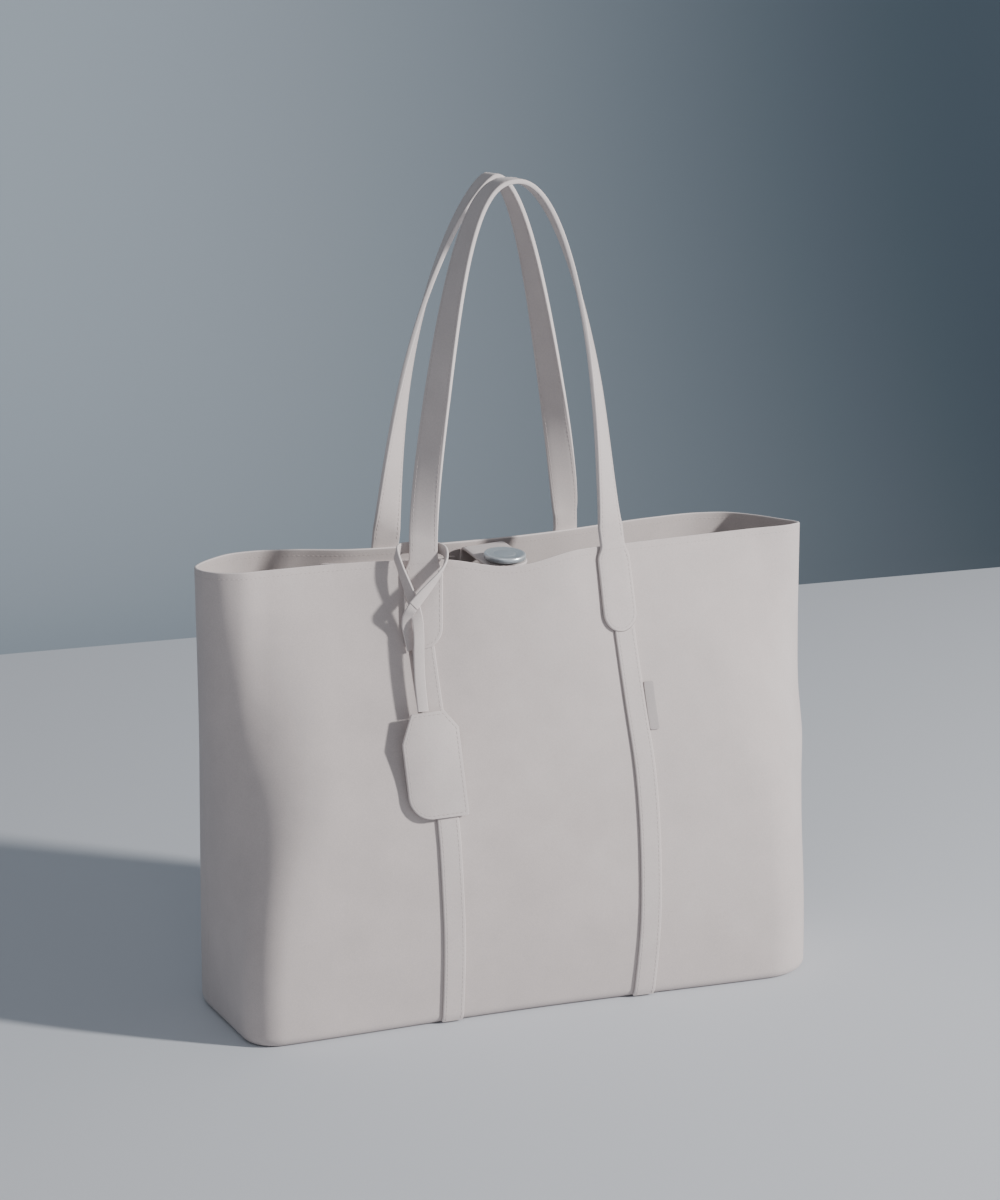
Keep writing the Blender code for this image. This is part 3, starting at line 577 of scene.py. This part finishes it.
SUEDE = (0.53, 0.47, 0.455)
STRAP = (0.56, 0.50, 0.485)
suede = leather("suede", SUEDE, 0.92)
strap_suede = leather("strap_suede", STRAP, 0.90)
cut_edge = leather("cut_edge", (0.66, 0.60, 0.585), 0.8, grain=0.02, patch=0.02, bump=0.05, sheen=0.1)
thread = plain("thread", (0.50, 0.44, 0.425), 0.7)
label_look = leather("label", (0.40, 0.36, 0.355), 0.85)
metal = plain("button_metal", (0.60, 0.66, 0.70), 0.35, 0.6)
# Painted highlight: the button's rim ring is a lighter, shinier copy of the same metal, standing in for light
# catching its edge.
rim_highlight_metal = plain("button_rim_painted_highlight", (0.74, 0.79, 0.82), 0.28, 0.6)


# Walls

def wall_columns(count):
    even = np.linspace(0.0, 1.0, count + 1)
    return even - 0.6 * np.sin(2 * np.pi * even) / (2 * np.pi)


def uneven(points, half):
    """Slight waves of soft leather, at most about 0.7 mm, none at the rim, the hem and the seams."""
    x, z = points[..., 0] / MM, points[..., 2] / MM
    wave = 0.55 * np.sin(x / 47 + z / 61 + 0.8 + half) * np.sin(z / 39 - x / 90 + 1.9)
    wave += 0.35 * np.sin(x / 21 + 1.3 * half) * np.sin(z / 26 + 0.4)
    fade = np.clip(z / 40, 0, 1) * np.clip((BAG_HEIGHT / MM - 22 - z) / 40, 0, 1)
    middle = np.clip((200 - np.abs(x)) / 40, 0, 1)
    return wave * fade * middle * 0.7 * MM


def wall_grid(half, runs, count):
    places = wall_columns(count)
    grid = []
    for run in runs:
        dense = section(half, run)
        grid.append(np.stack([np.interp(places, ALONG, dense[:, axis]) for axis in range(3)], axis=1))
    grid = np.array(grid)
    grid[:, 0, 1] = grid[:, -1, 1] = SEAM_Y + half * GAP / 2
    normal = normals_of(grid, half)
    flat = np.array([run < 0 for run in runs])
    normal[flat] = (0.0, 0.0, -1.0)
    normal[:, (0, -1), 1] = 0.0
    normal /= np.maximum(np.linalg.norm(normal, axis=2), 1e-12)[:, :, None]
    return grid, normal


def wall_piece(name, half, node):
    hem = [HEM_BEND * step / 8 for step in range(8)]
    rise = [HEM_BEND + (RIM_RUN - HEM_BEND) * step / PANEL_ROWS for step in range(PANEL_ROWS + 1)]
    runs = [-HEM_FLANGE, -HEM_FLANGE / 2] + hem + rise
    grid, normal = wall_grid(half, runs, PANEL_COLUMNS)
    wave = uneven(grid, half)[..., None] * normal
    outer = grid + wave
    inner = grid + wave - WALL * normal
    rounding = 0.8 * MM
    up = grid[-1] - grid[-2]
    up = up / np.linalg.norm(up, axis=1)[:, None]
    over = []
    for turn in (0.0, 22.5, 45.0, 67.5, 90.0):
        a = math.radians(turn)
        over.append(outer[-1] + up * rounding * (math.sin(a) - 1) - normal[-1] * rounding * (1 - math.cos(a)))
    back = []
    for turn in (90.0, 67.5, 45.0, 22.5, 0.0):
        a = math.radians(turn)
        back.append(inner[-1] + up * rounding * (math.sin(a) - 1) + normal[-1] * rounding * (1 - math.cos(a)))
    loop = np.concatenate((outer[:-1], over, back, inner[:-1][::-1]))
    rows, columns = loop.shape[:2]
    faces, looks = [], []
    first_over = len(outer) - 1
    for row in range(rows):
        following = (row + 1) % rows
        edge = first_over + 1 <= row <= first_over + 7
        for column in range(columns - 1):
            faces.append((row * columns + column, row * columns + column + 1,
                          following * columns + column + 1, following * columns + column))
            looks.append(1 if edge else 0)
    half_rows = rows // 2
    for row in range(half_rows - 1):
        mirror = rows - 1 - row
        for column in (0, columns - 1):
            faces.append((row * columns + column, (row + 1) * columns + column,
                          (mirror - 1) * columns + column, mirror * columns + column))
            looks.append(1)
    obj = new_object(name, loop.reshape(-1, 3), faces, [suede, cut_edge], looks, sharp=50)
    face_outward(obj)
    place_piece(obj, "suede", node)
    lines = []
    for inside in (False, True):
        run = RIM_RUN - RIM_INSET
        row_grid, row_normal = wall_grid(half, [run - 1 * MM, run, run + 1 * MM], PANEL_COLUMNS)
        points = row_grid[1] - (WALL * row_normal[1] if inside else 0.0)
        lines.append((points, -row_normal[1] if inside else row_normal[1]))
    stitches(name + "_stitches", lines, thread, "suede", sink=0.16 * MM)
    return obj


def base_piece():
    places = wall_columns(60)
    rows = []
    for half in (FRONT, BACK):
        dense = section(half, -(HEM_FLANGE + GAP))
        rows.append(np.stack([np.interp(places, ALONG, dense[:, axis]) for axis in range(2)], axis=1))
    ring = np.concatenate((rows[0][:-1], rows[1][:0:-1]))
    count = len(ring)
    vertices = [(x, y, height) for height in (0.0, BASE_THICKNESS) for x, y in ring]
    faces = [tuple(range(count)), tuple(count + spot for spot in range(count))]
    for spot in range(count):
        following = (spot + 1) % count
        faces.append((spot, following, count + following, count + spot))
    obj = new_object("base", vertices, faces, [suede])
    face_outward(obj)
    return place_piece(obj, "suede", "base_panel")


# Handles and strips

def leg_x(half, side, share):
    shift = FRONT_HANDLE_SHIFT if half == FRONT else BACK_HANDLE_SHIFT
    lean = LEGS[half, side][2] * STRAP_WIDTH
    return shift + side * HANDLE_SPREAD / 2 + lean * (share - 0.5)


def handle(name, half, apex, node):
    lift = GAP + STRAP_THICKNESS / 2
    rims = [leg_x(half, side, 1.0) for side in (-1, 1)]
    feet = [lay(half, x, RIM_RUN, lift) for x in rims]
    lean = unit(feet[0] - lay(half, rims[0], RIM_RUN - STRAP_WIDTH / 2, lift))
    slope = lean[1] / lean[2]
    top = BAG_HEIGHT + HANDLE_DROP
    fine = np.linspace(0.0, math.pi, 1600)
    branches = []
    for foot, side, keep in zip(feet, (-1, 1), (fine < math.pi / 2, fine >= math.pi / 2)):
        rise, bulge, _ = LEGS[half, side]
        height = np.clip(np.sin(fine[keep]), 0.0, 1.0) ** (2 / rise)
        reach = np.abs(np.cos(fine[keep])) ** (2 / bulge)
        ease = height ** 2 * (3 - 2 * height)
        leaning = slope * HANDLE_DROP * height * (1 - height) ** 4
        x = apex[0] + (foot[0] - apex[0]) * reach
        y = foot[1] + leaning + (apex[1] - foot[1]) * ease
        branches.append(np.column_stack([x, y, foot[2] + (top - foot[2]) * height]))
    count = 220
    path = resample(np.concatenate(branches), count + 1)
    faces = [unit(lay(half, x, RIM_RUN, 2 * lift) - lay(half, x, RIM_RUN, 0.0)) for x in rims]
    tangents = np.gradient(path, axis=0)
    across = 5
    rings = []
    frames = []
    for station in range(2, count - 1):
        centre = path[station]
        tangent = unit(tangents[station])
        share = 1 - abs(2 * station / count - 1)
        twist = math.pi / 2 * max(0.0, (share - TWIST_START) / (1 - TWIST_START)) ** TWIST_POWER
        wall_share = max(0.0, 1 - share / WALL_BLEND)
        start = faces[0] if 2 * station < count else faces[1]
        outward = unit(start * wall_share + np.array([0.0, float(half), 0.0]) * (1 - wall_share))
        flat = unit(outward - tangent * outward.dot(tangent))
        away = unit(np.cross(outward, tangent)) * -half
        normal = math.cos(twist) * flat + math.sin(twist) * away
        width = np.cross(tangent, normal)
        ring = rounded(STRAP_WIDTH, STRAP_THICKNESS, across)
        rings.append(centre + ring[:, :1] * width + (ring[:, 1:] - STRAP_THICKNESS / 2) * normal)
        frames.append((centre, width, normal))
    sign = -half
    radius = PADDLE_WIDTH / 2
    paddles = []
    for leg, way in zip((-1, 1), (sign, -sign)):
        turns = np.radians(np.linspace(4, 90, 16))
        stations = [(radius * (1 - math.cos(turn)), PADDLE_WIDTH * math.sin(turn), PADDLE_THICKNESS)
                    for turn in turns]
        body = PADDLE_LENGTH - PADDLE_SHOULDER
        stations += [(radius + (body - radius) * share, PADDLE_WIDTH, PADDLE_THICKNESS)
                     for share in np.linspace(0, 1, 10)[1:]]
        for share in np.linspace(0, 1, 7)[1:]:
            soft = share * share * (3 - 2 * share)
            stations.append((body + PADDLE_SHOULDER * share,
                             PADDLE_WIDTH + (STRAP_WIDTH - PADDLE_WIDTH) * soft,
                             PADDLE_THICKNESS + (STRAP_THICKNESS - PADDLE_THICKNESS) * soft))
        rows = []
        for depth, width, thickness in stations:
            ring = rounded(width, thickness, across)
            centre = leg_x(half, leg, depth / PADDLE_LENGTH)
            run = RIM_RUN - PADDLE_LENGTH + depth
            rows.append(lay(half, centre + way * ring[:, 0], run, GAP + ring[:, 1]))
        paddles.append(np.array(rows))
    rings = np.concatenate((paddles[0], rings, paddles[1][::-1]))
    obj = swept(name, rings, [strap_suede, cut_edge], edge_faces(across))
    face_outward(obj)
    place_piece(obj, "strap_suede", node)

    lines = []
    inset = STRAP_WIDTH / 2 - EDGE_INSET
    for side in (-1, 1):
        for face in (-1, 1):
            points = [centre + side * inset * width + face * normal * STRAP_THICKNESS / 2
                      for centre, width, normal in frames]
            lines.append((points, [face * normal for _, _, normal in frames]))
    for leg in (-1, 1):
        reach = radius - EDGE_INSET
        spots = []
        for turn in np.radians(np.linspace(-90, 90, 40)):
            spots.append((reach * math.sin(turn), radius - reach * math.cos(turn)))
        body = PADDLE_LENGTH - PADDLE_SHOULDER
        neck = STRAP_WIDTH / 2 - EDGE_INSET
        right = [(reach, body), (neck, PADDLE_LENGTH - 1 * MM)]
        left = [(-neck, PADDLE_LENGTH - 1 * MM), (-reach, body)]
        bar = [(-neck, PADDLE_LENGTH - 3 * MM), (neck, PADDLE_LENGTH - 3 * MM)]
        for run_of in (left + spots + right, bar):
            run_of = resample(np.column_stack([np.array(run_of), np.zeros(len(run_of))]), 80)[:, :2]
            x = leg_x(half, leg, run_of[:, 1] / PADDLE_LENGTH) + run_of[:, 0]
            runs = RIM_RUN - PADDLE_LENGTH + run_of[:, 1]
            thick = np.interp(run_of[:, 1], [body, PADDLE_LENGTH], [PADDLE_THICKNESS, STRAP_THICKNESS])
            points = lay(half, x, runs, GAP + thick)
            lines.append((points, points - lay(half, x, runs, 0.0)))
    stitches(name + "_stitches", lines, thread, "strap_suede")
    return obj


def strip_x(half, side, height):
    shift = FRONT_HANDLE_SHIFT if half == FRONT else BACK_HANDLE_SHIFT
    middle = shift + side * HANDLE_SPREAD / 2
    bow = STRIP_LEAN * math.sin(math.pi * (1 - height / BAG_HEIGHT)) if side > 0 else 0.0
    near_top = np.clip(height / (BAG_HEIGHT - PADDLE_LENGTH) * 2 - 1, 0.0, 1.0)
    return middle + bow + (leg_x(half, side, 0.0) - middle) * near_top


def wave_at(half, x, run):
    """The walls' slight waves at places on them, so that pieces laid on a wall follow it."""
    return uneven(lay(half, x, run, 0.0), half)


def strip(name, half, side, node):
    radius = PADDLE_WIDTH / 2 + GAP
    top = RIM_RUN - PADDLE_LENGTH - GAP
    paddle = leg_x(half, side, 0.0)
    across = 7
    rings = []
    ring = rounded(STRIP_WIDTH, STRIP_THICKNESS, across)
    for run in np.linspace(HEM_RADIUS * STRIP_END, top, 110):
        x = strip_x(half, side, profile(run)[0]) + ring[:, 0]
        share = np.clip((run - top + 12 * MM) / (12 * MM), 0.0, 1.0)
        edge = np.clip(np.abs(x - paddle) / radius, 0.0, 1.0)
        runs = run + share * radius * (1 - np.sqrt(1 - edge ** 2))
        rings.append(lay(half, x, runs, GAP + ring[:, 1] + wave_at(half, x, runs)))
    obj = swept(name, rings, [strap_suede, cut_edge], edge_faces(across))
    face_outward(obj)
    place_piece(obj, "strap_suede", node)
    lines = []
    for way in (-1, 1):
        runs = np.linspace(HEM_RADIUS * STRIP_END + 1 * MM, top + 2 * MM, 160)
        x = np.array([strip_x(half, side, profile(run)[0]) for run in runs])
        x = x + way * (STRIP_WIDTH / 2 - EDGE_INSET)
        points = lay(half, x, runs, GAP + STRIP_THICKNESS + wave_at(half, x, runs))
        lines.append((points, points - lay(half, x, runs, 0.0)))
    stitches(name + "_stitches", lines, thread, "strap_suede")
    return obj


# Closure, tag, label and pocket

def closure():
    near = WALL + GAP
    across = 9
    ring = rounded(TAB_WIDTH, TAB_THICKNESS, across)
    start = RIM_RUN - TAB_DROP
    rings = []
    for share in np.linspace(0.0, 1.0, SEWN_STATIONS):
        run = start - TAB_SEWN * (1 - share)
        rings.append(lay(BACK, TAB_CENTRE + ring[:, 0], run, -near - TAB_THICKNESS + ring[:, 1]))
    middle = across // 2
    rise = unit(rings[-1][middle] - rings[-2][middle])
    lean = math.atan2(-rise[1], rise[2])
    total = math.pi / 2 + TAB_SLOPE - lean
    anchor = rings[-1]
    toward = np.array([0.0, -math.cos(lean), -math.sin(lean)])
    pivot = anchor[middle] + toward * (TAB_BEND + TAB_THICKNESS / 2)
    for step in range(1, BEND_STATIONS + 1):
        angle = total * step / BEND_STATIONS
        offset = anchor - pivot
        turned = np.array(offset)
        turned[:, 1] = offset[:, 1] * math.cos(angle) - offset[:, 2] * math.sin(angle)
        turned[:, 2] = offset[:, 1] * math.sin(angle) + offset[:, 2] * math.cos(angle)
        rings.append(turned + pivot)
    bent = rings[-1]
    ahead = np.array([0.0, -math.cos(TAB_SLOPE), -math.sin(TAB_SLOPE)])
    radius = TAB_WIDTH / 2
    travel = TAB_REACH - radius
    middle_x = bent[middle][0]
    ends = [(travel * share, 1.0) for share in np.linspace(0, 1, 8)[1:]]
    ends += [(travel + radius * math.sin(turn), math.cos(turn))
             for turn in np.radians(np.linspace(6, 86, 16))]
    for distance, width in ends:
        moved = bent + ahead * distance
        moved[:, 0] = middle_x + (moved[:, 0] - middle_x) * width
        rings.append(moved)
    tab = swept("closure_tab", rings, [strap_suede, cut_edge], edge_faces(across))
    face_outward(tab)
    place_piece(tab, "strap_suede", "closure_strap")

    normal = np.array([0.0, -math.sin(TAB_SLOPE), math.cos(TAB_SLOPE)])
    inset = TAB_WIDTH / 2 - EDGE_INSET
    frames = [np.array(item) for item in rings[:SEWN_STATIONS + BEND_STATIONS]]
    lines = []
    for way in (0, across - 1):
        points = [item[way] * 0.88 + item[middle] * 0.12 for item in frames]
        # the outer face of the sewn part looks back, and of the tab up
        inner = [item[2 * across + 2 * EDGE_STEPS - 1 - way] for item in frames]
        lines.append((points, [unit(p - q) for p, q in zip(points, inner)]))
    base = bent[middle] + ahead * travel
    arc = [base + np.array([inset * math.sin(turn), 0, 0]) + ahead * inset * math.cos(turn)
           for turn in np.radians(np.linspace(-90, 90, 40))]
    lines.append((arc, [normal] * len(arc)))
    stitches("closure_tab_stitches", lines, thread, "strap_suede")

    highest = max(float((spot - bent[middle]).dot(normal)) for spot in bent[:across])
    seat = base + normal * (GAP + highest)
    rim = BUTTON_DIAMETER / 2
    ring_reach = BUTTON_RING / 2
    turning = [
        # reach, height
        (0.4 * rim, 0.0),
        (rim - 1.2 * MM, 0.0),
        (rim - 0.35 * MM, 0.35 * MM),
        (rim, 1.0 * MM),
        (rim, BUTTON_HEIGHT - 1.0 * MM),
        (rim - 0.3 * MM, BUTTON_HEIGHT - 0.3 * MM),
        (rim - 1.0 * MM, BUTTON_HEIGHT),
        (rim - 2.0 * MM, BUTTON_HEIGHT),
        (rim - 2.5 * MM, BUTTON_HEIGHT - 0.25 * MM),
        (ring_reach + 1.0 * MM, BUTTON_HEIGHT - 0.25 * MM),
        (ring_reach + 0.4 * MM, BUTTON_HEIGHT - 0.4 * MM),
        (ring_reach, BUTTON_HEIGHT - 0.6 * MM),
        (ring_reach - 0.4 * MM, BUTTON_HEIGHT - 0.4 * MM),
        (ring_reach - 1.0 * MM, BUTTON_HEIGHT - 0.2 * MM),
        (0.3 * rim, BUTTON_HEIGHT - 0.1 * MM),
        (0.02 * rim, BUTTON_HEIGHT - 0.1 * MM),
    ]
    side = np.array([1.0, 0.0, 0.0])
    sides = 96
    rows = []
    for reach, height in turning:
        turns = [2 * math.pi * spot / sides for spot in range(sides)]
        rows.append([seat + normal * height + reach * (side * math.cos(turn) + ahead * math.sin(turn))
                     for turn in turns])
    button = swept("closure_button_cap", rows, [metal, rim_highlight_metal], sharp=60)
    # the faces round the top outer edge get the painted highlight metal
    marks = np.zeros(len(button.data.polygons), dtype=np.int32)
    marks[4 * sides:7 * sides] = 1
    button.data.polygons.foreach_set("material_index", marks)
    face_outward(button)
    place_piece(button, "button_metal", "closure_button")


def ribbon(route, stations, width, thickness, across=3):
    leg = FRONT_HANDLE_SHIFT - HANDLE_SPREAD / 2
    table = np.array(route, dtype=float)
    rim = lay(FRONT, leg, RIM_RUN, 0.0)
    rise = rim - lay(FRONT, leg, RIM_RUN - RISE_REACH, 0.0)
    rise = rise / rise[2]
    spots = []
    for side, out, up in table[:, :3] * TAG_STRAP_WIDTH:
        spot = lay(FRONT, leg + side, RIM_RUN + min(up, 0.0), GAP + out)
        spots.append(spot + rise * max(up, 0.0))
    spots = np.array(spots)
    run = np.concatenate(([0.0], np.cumsum(np.linalg.norm(np.diff(spots, axis=0), axis=1))))
    even = np.linspace(0.0, run[-1], stations)
    path = smooth_curve(run, spots, even)
    turns = np.radians(smooth_curve(run, table[:, 3], even))
    ring = rounded(width, thickness, across)
    rings = []
    for centre, tangent, turn in zip(path, np.gradient(path, axis=0), turns):
        tangent = unit(tangent)
        facing = np.array([math.sin(turn), -math.cos(turn), 0.0])
        normal = unit(facing - tangent * facing.dot(tangent))
        side = np.cross(tangent, normal)
        rings.append(centre + ring[:, :1] * side + (ring[:, 1:] - thickness / 2) * normal)
    return rings, path


def join(target, *others):
    """Adds the other objects' meshes to the target's mesh."""
    shape = bmesh.new()
    shape.from_mesh(target.data)
    for other in others:
        shape.from_mesh(other.data)
    shape.to_mesh(target.data)
    shape.free()
    for other in others:
        bpy.data.objects.remove(other, do_unlink=True)
    return target


def tag_strap():
    rings, path = ribbon(TAG_STRAP_ROUTE, 200, TAG_STRAP_WIDTH, TAG_STRAP_THICKNESS)
    loop = swept("tag_loop", rings, [strap_suede, cut_edge], edge_faces(3))
    tail_rings, _ = ribbon(TAG_TAIL_ROUTE, 60, TAG_STRAP_WIDTH * 0.95, TAG_STRAP_THICKNESS * 0.9)
    tail = swept("tag_tail", tail_rings, [strap_suede, cut_edge], edge_faces(3))
    face_outward(loop)
    face_outward(tail)
    join(loop, tail)
    place_piece(loop, "strap_suede", "tag_strap")
    return path


def tag_outline(inset=0.0):
    half = TAG_WIDTH / 2 - inset
    top = TAG_TOP / 2 - inset * 0.6
    low = TAG_LENGTH - inset
    bottom_round = TAG_ROUND - inset
    points = [(-top, inset), (top, inset), (half, TAG_RIGHT_SHOULDER + inset * 0.3), (half, low - 1 * MM),
              (half - 1 * MM, low)]
    for step in range(17):
        turn = math.radians(90 * step / 16)
        x = -half + bottom_round * (1 - math.sin(turn))
        points.append((x, low - bottom_round * (1 - math.cos(turn))))
    points.append((-half, TAG_LEFT_SHOULDER + inset * 0.3))
    return points


def tag(strap_end):
    strip_face = GAP + STRIP_THICKNESS
    top = strap_end + np.array([TAG_SIDE, 0.0, 0.0])
    seat = strip_face + GAP + TAG_STANDOFF + TAG_THICKNESS / 2
    low_run = top[2] - TAG_LENGTH - HEM_RADIUS + HEM_BEND
    low = lay(FRONT, top[0] + TAG_SWING, low_run, seat)
    down = unit(low - top)
    across = unit(np.cross(np.cross(down, np.array([1.0, 0.0, 0.0])), down))
    normal = unit(np.cross(across, down)) * -1
    if normal[1] > 0:
        normal = -normal
    origin = top + down * TAG_GAP - normal * TAG_THICKNESS / 2
    layers = [(0.5 * MM, 0.0), (0.15 * MM, 0.15 * MM), (0.0, 0.5 * MM), (0.0, TAG_THICKNESS - 0.5 * MM),
              (0.15 * MM, TAG_THICKNESS - 0.15 * MM), (0.5 * MM, TAG_THICKNESS)]
    rings = []
    for inset, layer in layers:
        rings.append([origin + across * x + down * y + normal * layer for x, y in tag_outline(inset)])
    obj = swept("tag_plate", rings, [strap_suede, cut_edge], sharp=50)
    size = len(rings[0])
    marks = np.zeros(len(obj.data.polygons), dtype=np.int32)
    marks[size:4 * size] = 1
    obj.data.polygons.foreach_set("material_index", marks)
    face_outward(obj)
    place_piece(obj, "strap_suede", "tag")
    outline = tag_outline(EDGE_INSET)
    outline = outline + outline[:1]
    points = np.array([origin + across * x + down * y + normal * TAG_THICKNESS for x, y in outline])
    facing = np.repeat(normal[None, :], len(points), axis=0)
    stitches("tag_stitches", [(points, facing)], thread, "strap_suede")


def patch(name, half, box, out, thickness, looks, slot, node, across, rows):
    """A thin sheet with rounded edges over a box of left, right, low and high on a wall."""
    left, right, low, high = box
    middle, width = (left + right) / 2, right - left
    corner = min(1.2 * MM, width / 6)
    rings = []
    for run in np.concatenate(([low, low + 0.4 * corner], np.linspace(low + corner, high - corner, rows),
                               [high - 0.4 * corner, high])):
        end = min(run - low, high - run)
        pull = corner - math.sqrt(max(corner ** 2 - max(corner - end, 0.0) ** 2, 0.0))
        ring = rounded(width - 2 * pull, thickness, across)
        x = middle + ring[:, 0]
        rings.append(lay(half, x, run, out + ring[:, 1] + wave_at(half, x, np.full(len(x), run))))
    obj = swept(name, rings, looks, edge_faces(across) if len(looks) > 1 else None)
    face_outward(obj)
    return place_piece(obj, slot, node)


wall_piece("front_wall", FRONT, "front_panel")
wall_piece("back_wall", BACK, "back_panel")
base_piece()
handle("handle_front", FRONT, (FRONT_APEX_X, FRONT_APEX_Y), "front_handle")
handle("handle_back", BACK, (BACK_APEX_X, BACK_APEX_Y), "back_handle")
for side_name, way in (("left", -1), ("right", 1)):
    strip("strip_front_" + side_name, FRONT, way, "front_strip_" + side_name)
    strip("strip_back_" + side_name, BACK, way, "back_strip_" + side_name)
closure()
tag(tag_strap()[0])

label_top = BAG_HEIGHT - LABEL_DROP
beside = max(strip_x(FRONT, 1, height) for height in (label_top, label_top - LABEL_LENGTH))
label_left = beside + STRIP_WIDTH / 2 + GAP
label_run = label_top - HEM_RADIUS + HEM_BEND
patch("side_label", FRONT, (label_left, label_left + LABEL_WIDTH, label_run - LABEL_LENGTH, label_run),
      GAP, LABEL_THICKNESS, [label_look], "strap_suede", "label_tab", 5, 24)
pocket_run = RIM_RUN - POCKET_DROP
patch("pocket", BACK, (POCKET_LEFT, POCKET_RIGHT, pocket_run - POCKET_DEPTH, pocket_run),
      -WALL - GAP - POCKET_THICKNESS, POCKET_THICKNESS, [suede, cut_edge], "suede", "inner_pocket", 25, 40)


# Floor, backdrop, light and camera

def backdrop():
    made = bpy.data.materials.new("backdrop")
    made.use_nodes = True
    nodes, links = made.node_tree.nodes, made.node_tree.links
    shader = nodes["Principled BSDF"]
    shader.inputs["Roughness"].default_value = 0.85
    shader.inputs["Specular IOR Level"].default_value = 0.1
    coordinates = nodes.new("ShaderNodeTexCoord")
    split = nodes.new("ShaderNodeSeparateXYZ")
    links.new(coordinates.outputs["Object"], split.inputs["Vector"])
    # Painted shade: the backdrop's colour runs from lit grey-blue at the left to near black at the right, a
    # light falloff painted in rather than lit.
    across = nodes.new("ShaderNodeMapRange")
    across.interpolation_type = "SMOOTHSTEP"
    across.inputs["From Min"].default_value = -0.2
    across.inputs["From Max"].default_value = 1.6
    links.new(split.outputs["X"], across.inputs["Value"])
    painted_shade_mix = nodes.new("ShaderNodeMix")
    painted_shade_mix.data_type = "RGBA"
    painted_shade_mix.inputs["A"].default_value = (0.36, 0.41, 0.46, 1)
    painted_shade_mix.inputs["B"].default_value = (0.05, 0.07, 0.09, 1)
    links.new(across.outputs["Result"], painted_shade_mix.inputs["Factor"])
    links.new(painted_shade_mix.outputs["Result"], shader.inputs["Base Color"])
    vertices, faces = [], []
    steps = [(-3.0, 0.0), (-1.0, 0.0), (0.0, 0.0), (0.6, 0.0), (1.2, 0.0)]
    steps += [(1.2 + 0.8 * math.sin(math.radians(turn)), 0.8 - 0.8 * math.cos(math.radians(turn)))
              for turn in range(6, 91, 6)]
    steps += [(2.0, 1.4), (2.0, 3.2)]
    for y, z in steps:
        for x in (-4.0, 5.0):
            vertices.append((x, y, z))
    for row in range(len(steps) - 1):
        faces.append((2 * row, 2 * row + 1, 2 * row + 3, 2 * row + 2))
    floor_look = plain("floor", (0.60, 0.62, 0.66), 0.8)
    looks = [0 if steps[row + 1][1] <= 0.0 else 1 for row in range(len(steps) - 1)]
    obj = new_object("backdrop", vertices, faces, [floor_look, made], looks)


def area_light(name, location, target, size, power, colour):
    data = bpy.data.lights.new(name, "AREA")
    data.shape = "DISK"
    data.size = size
    data.energy = power
    data.color = colour
    light = bpy.data.objects.new(name, data)
    bpy.context.scene.collection.objects.link(light)
    way = np.array(target) - np.array(location)
    flat = math.hypot(way[0], way[1])
    light.location = location
    light.rotation_euler = (math.atan2(flat, -way[2]), 0.0, math.atan2(-way[0], way[1]))


backdrop()
area_light("key", (2.6, -2.2, 1.75), (0.0, 0.0, 0.15), 0.28, 210, (1.0, 0.985, 0.965))
area_light("fill", (-1.4, -2.6, 2.2), (0.0, 0.0, 0.2), 2.2, 14, (0.93, 0.96, 1.0))

world = bpy.data.worlds.new("world")
world.use_nodes = True
background = world.node_tree.nodes["Background"]
background.inputs["Color"].default_value = (0.80, 0.86, 0.95, 1.0)
background.inputs["Strength"].default_value = 0.28
bpy.context.scene.world = world

camera_data = bpy.data.cameras.new("camera")
camera_data.sensor_fit = "AUTO"
camera_data.sensor_width = 36.0
camera_data.lens = CAMERA_LENS
camera_data.clip_end = 50.0
camera = bpy.data.objects.new("camera", camera_data)
camera.location = CAMERA_PLACE
camera.rotation_euler = (math.radians(90 - CAMERA_DOWN), 0.0, math.radians(CAMERA_TURN))
bpy.context.scene.collection.objects.link(camera)
bpy.context.scene.camera = camera
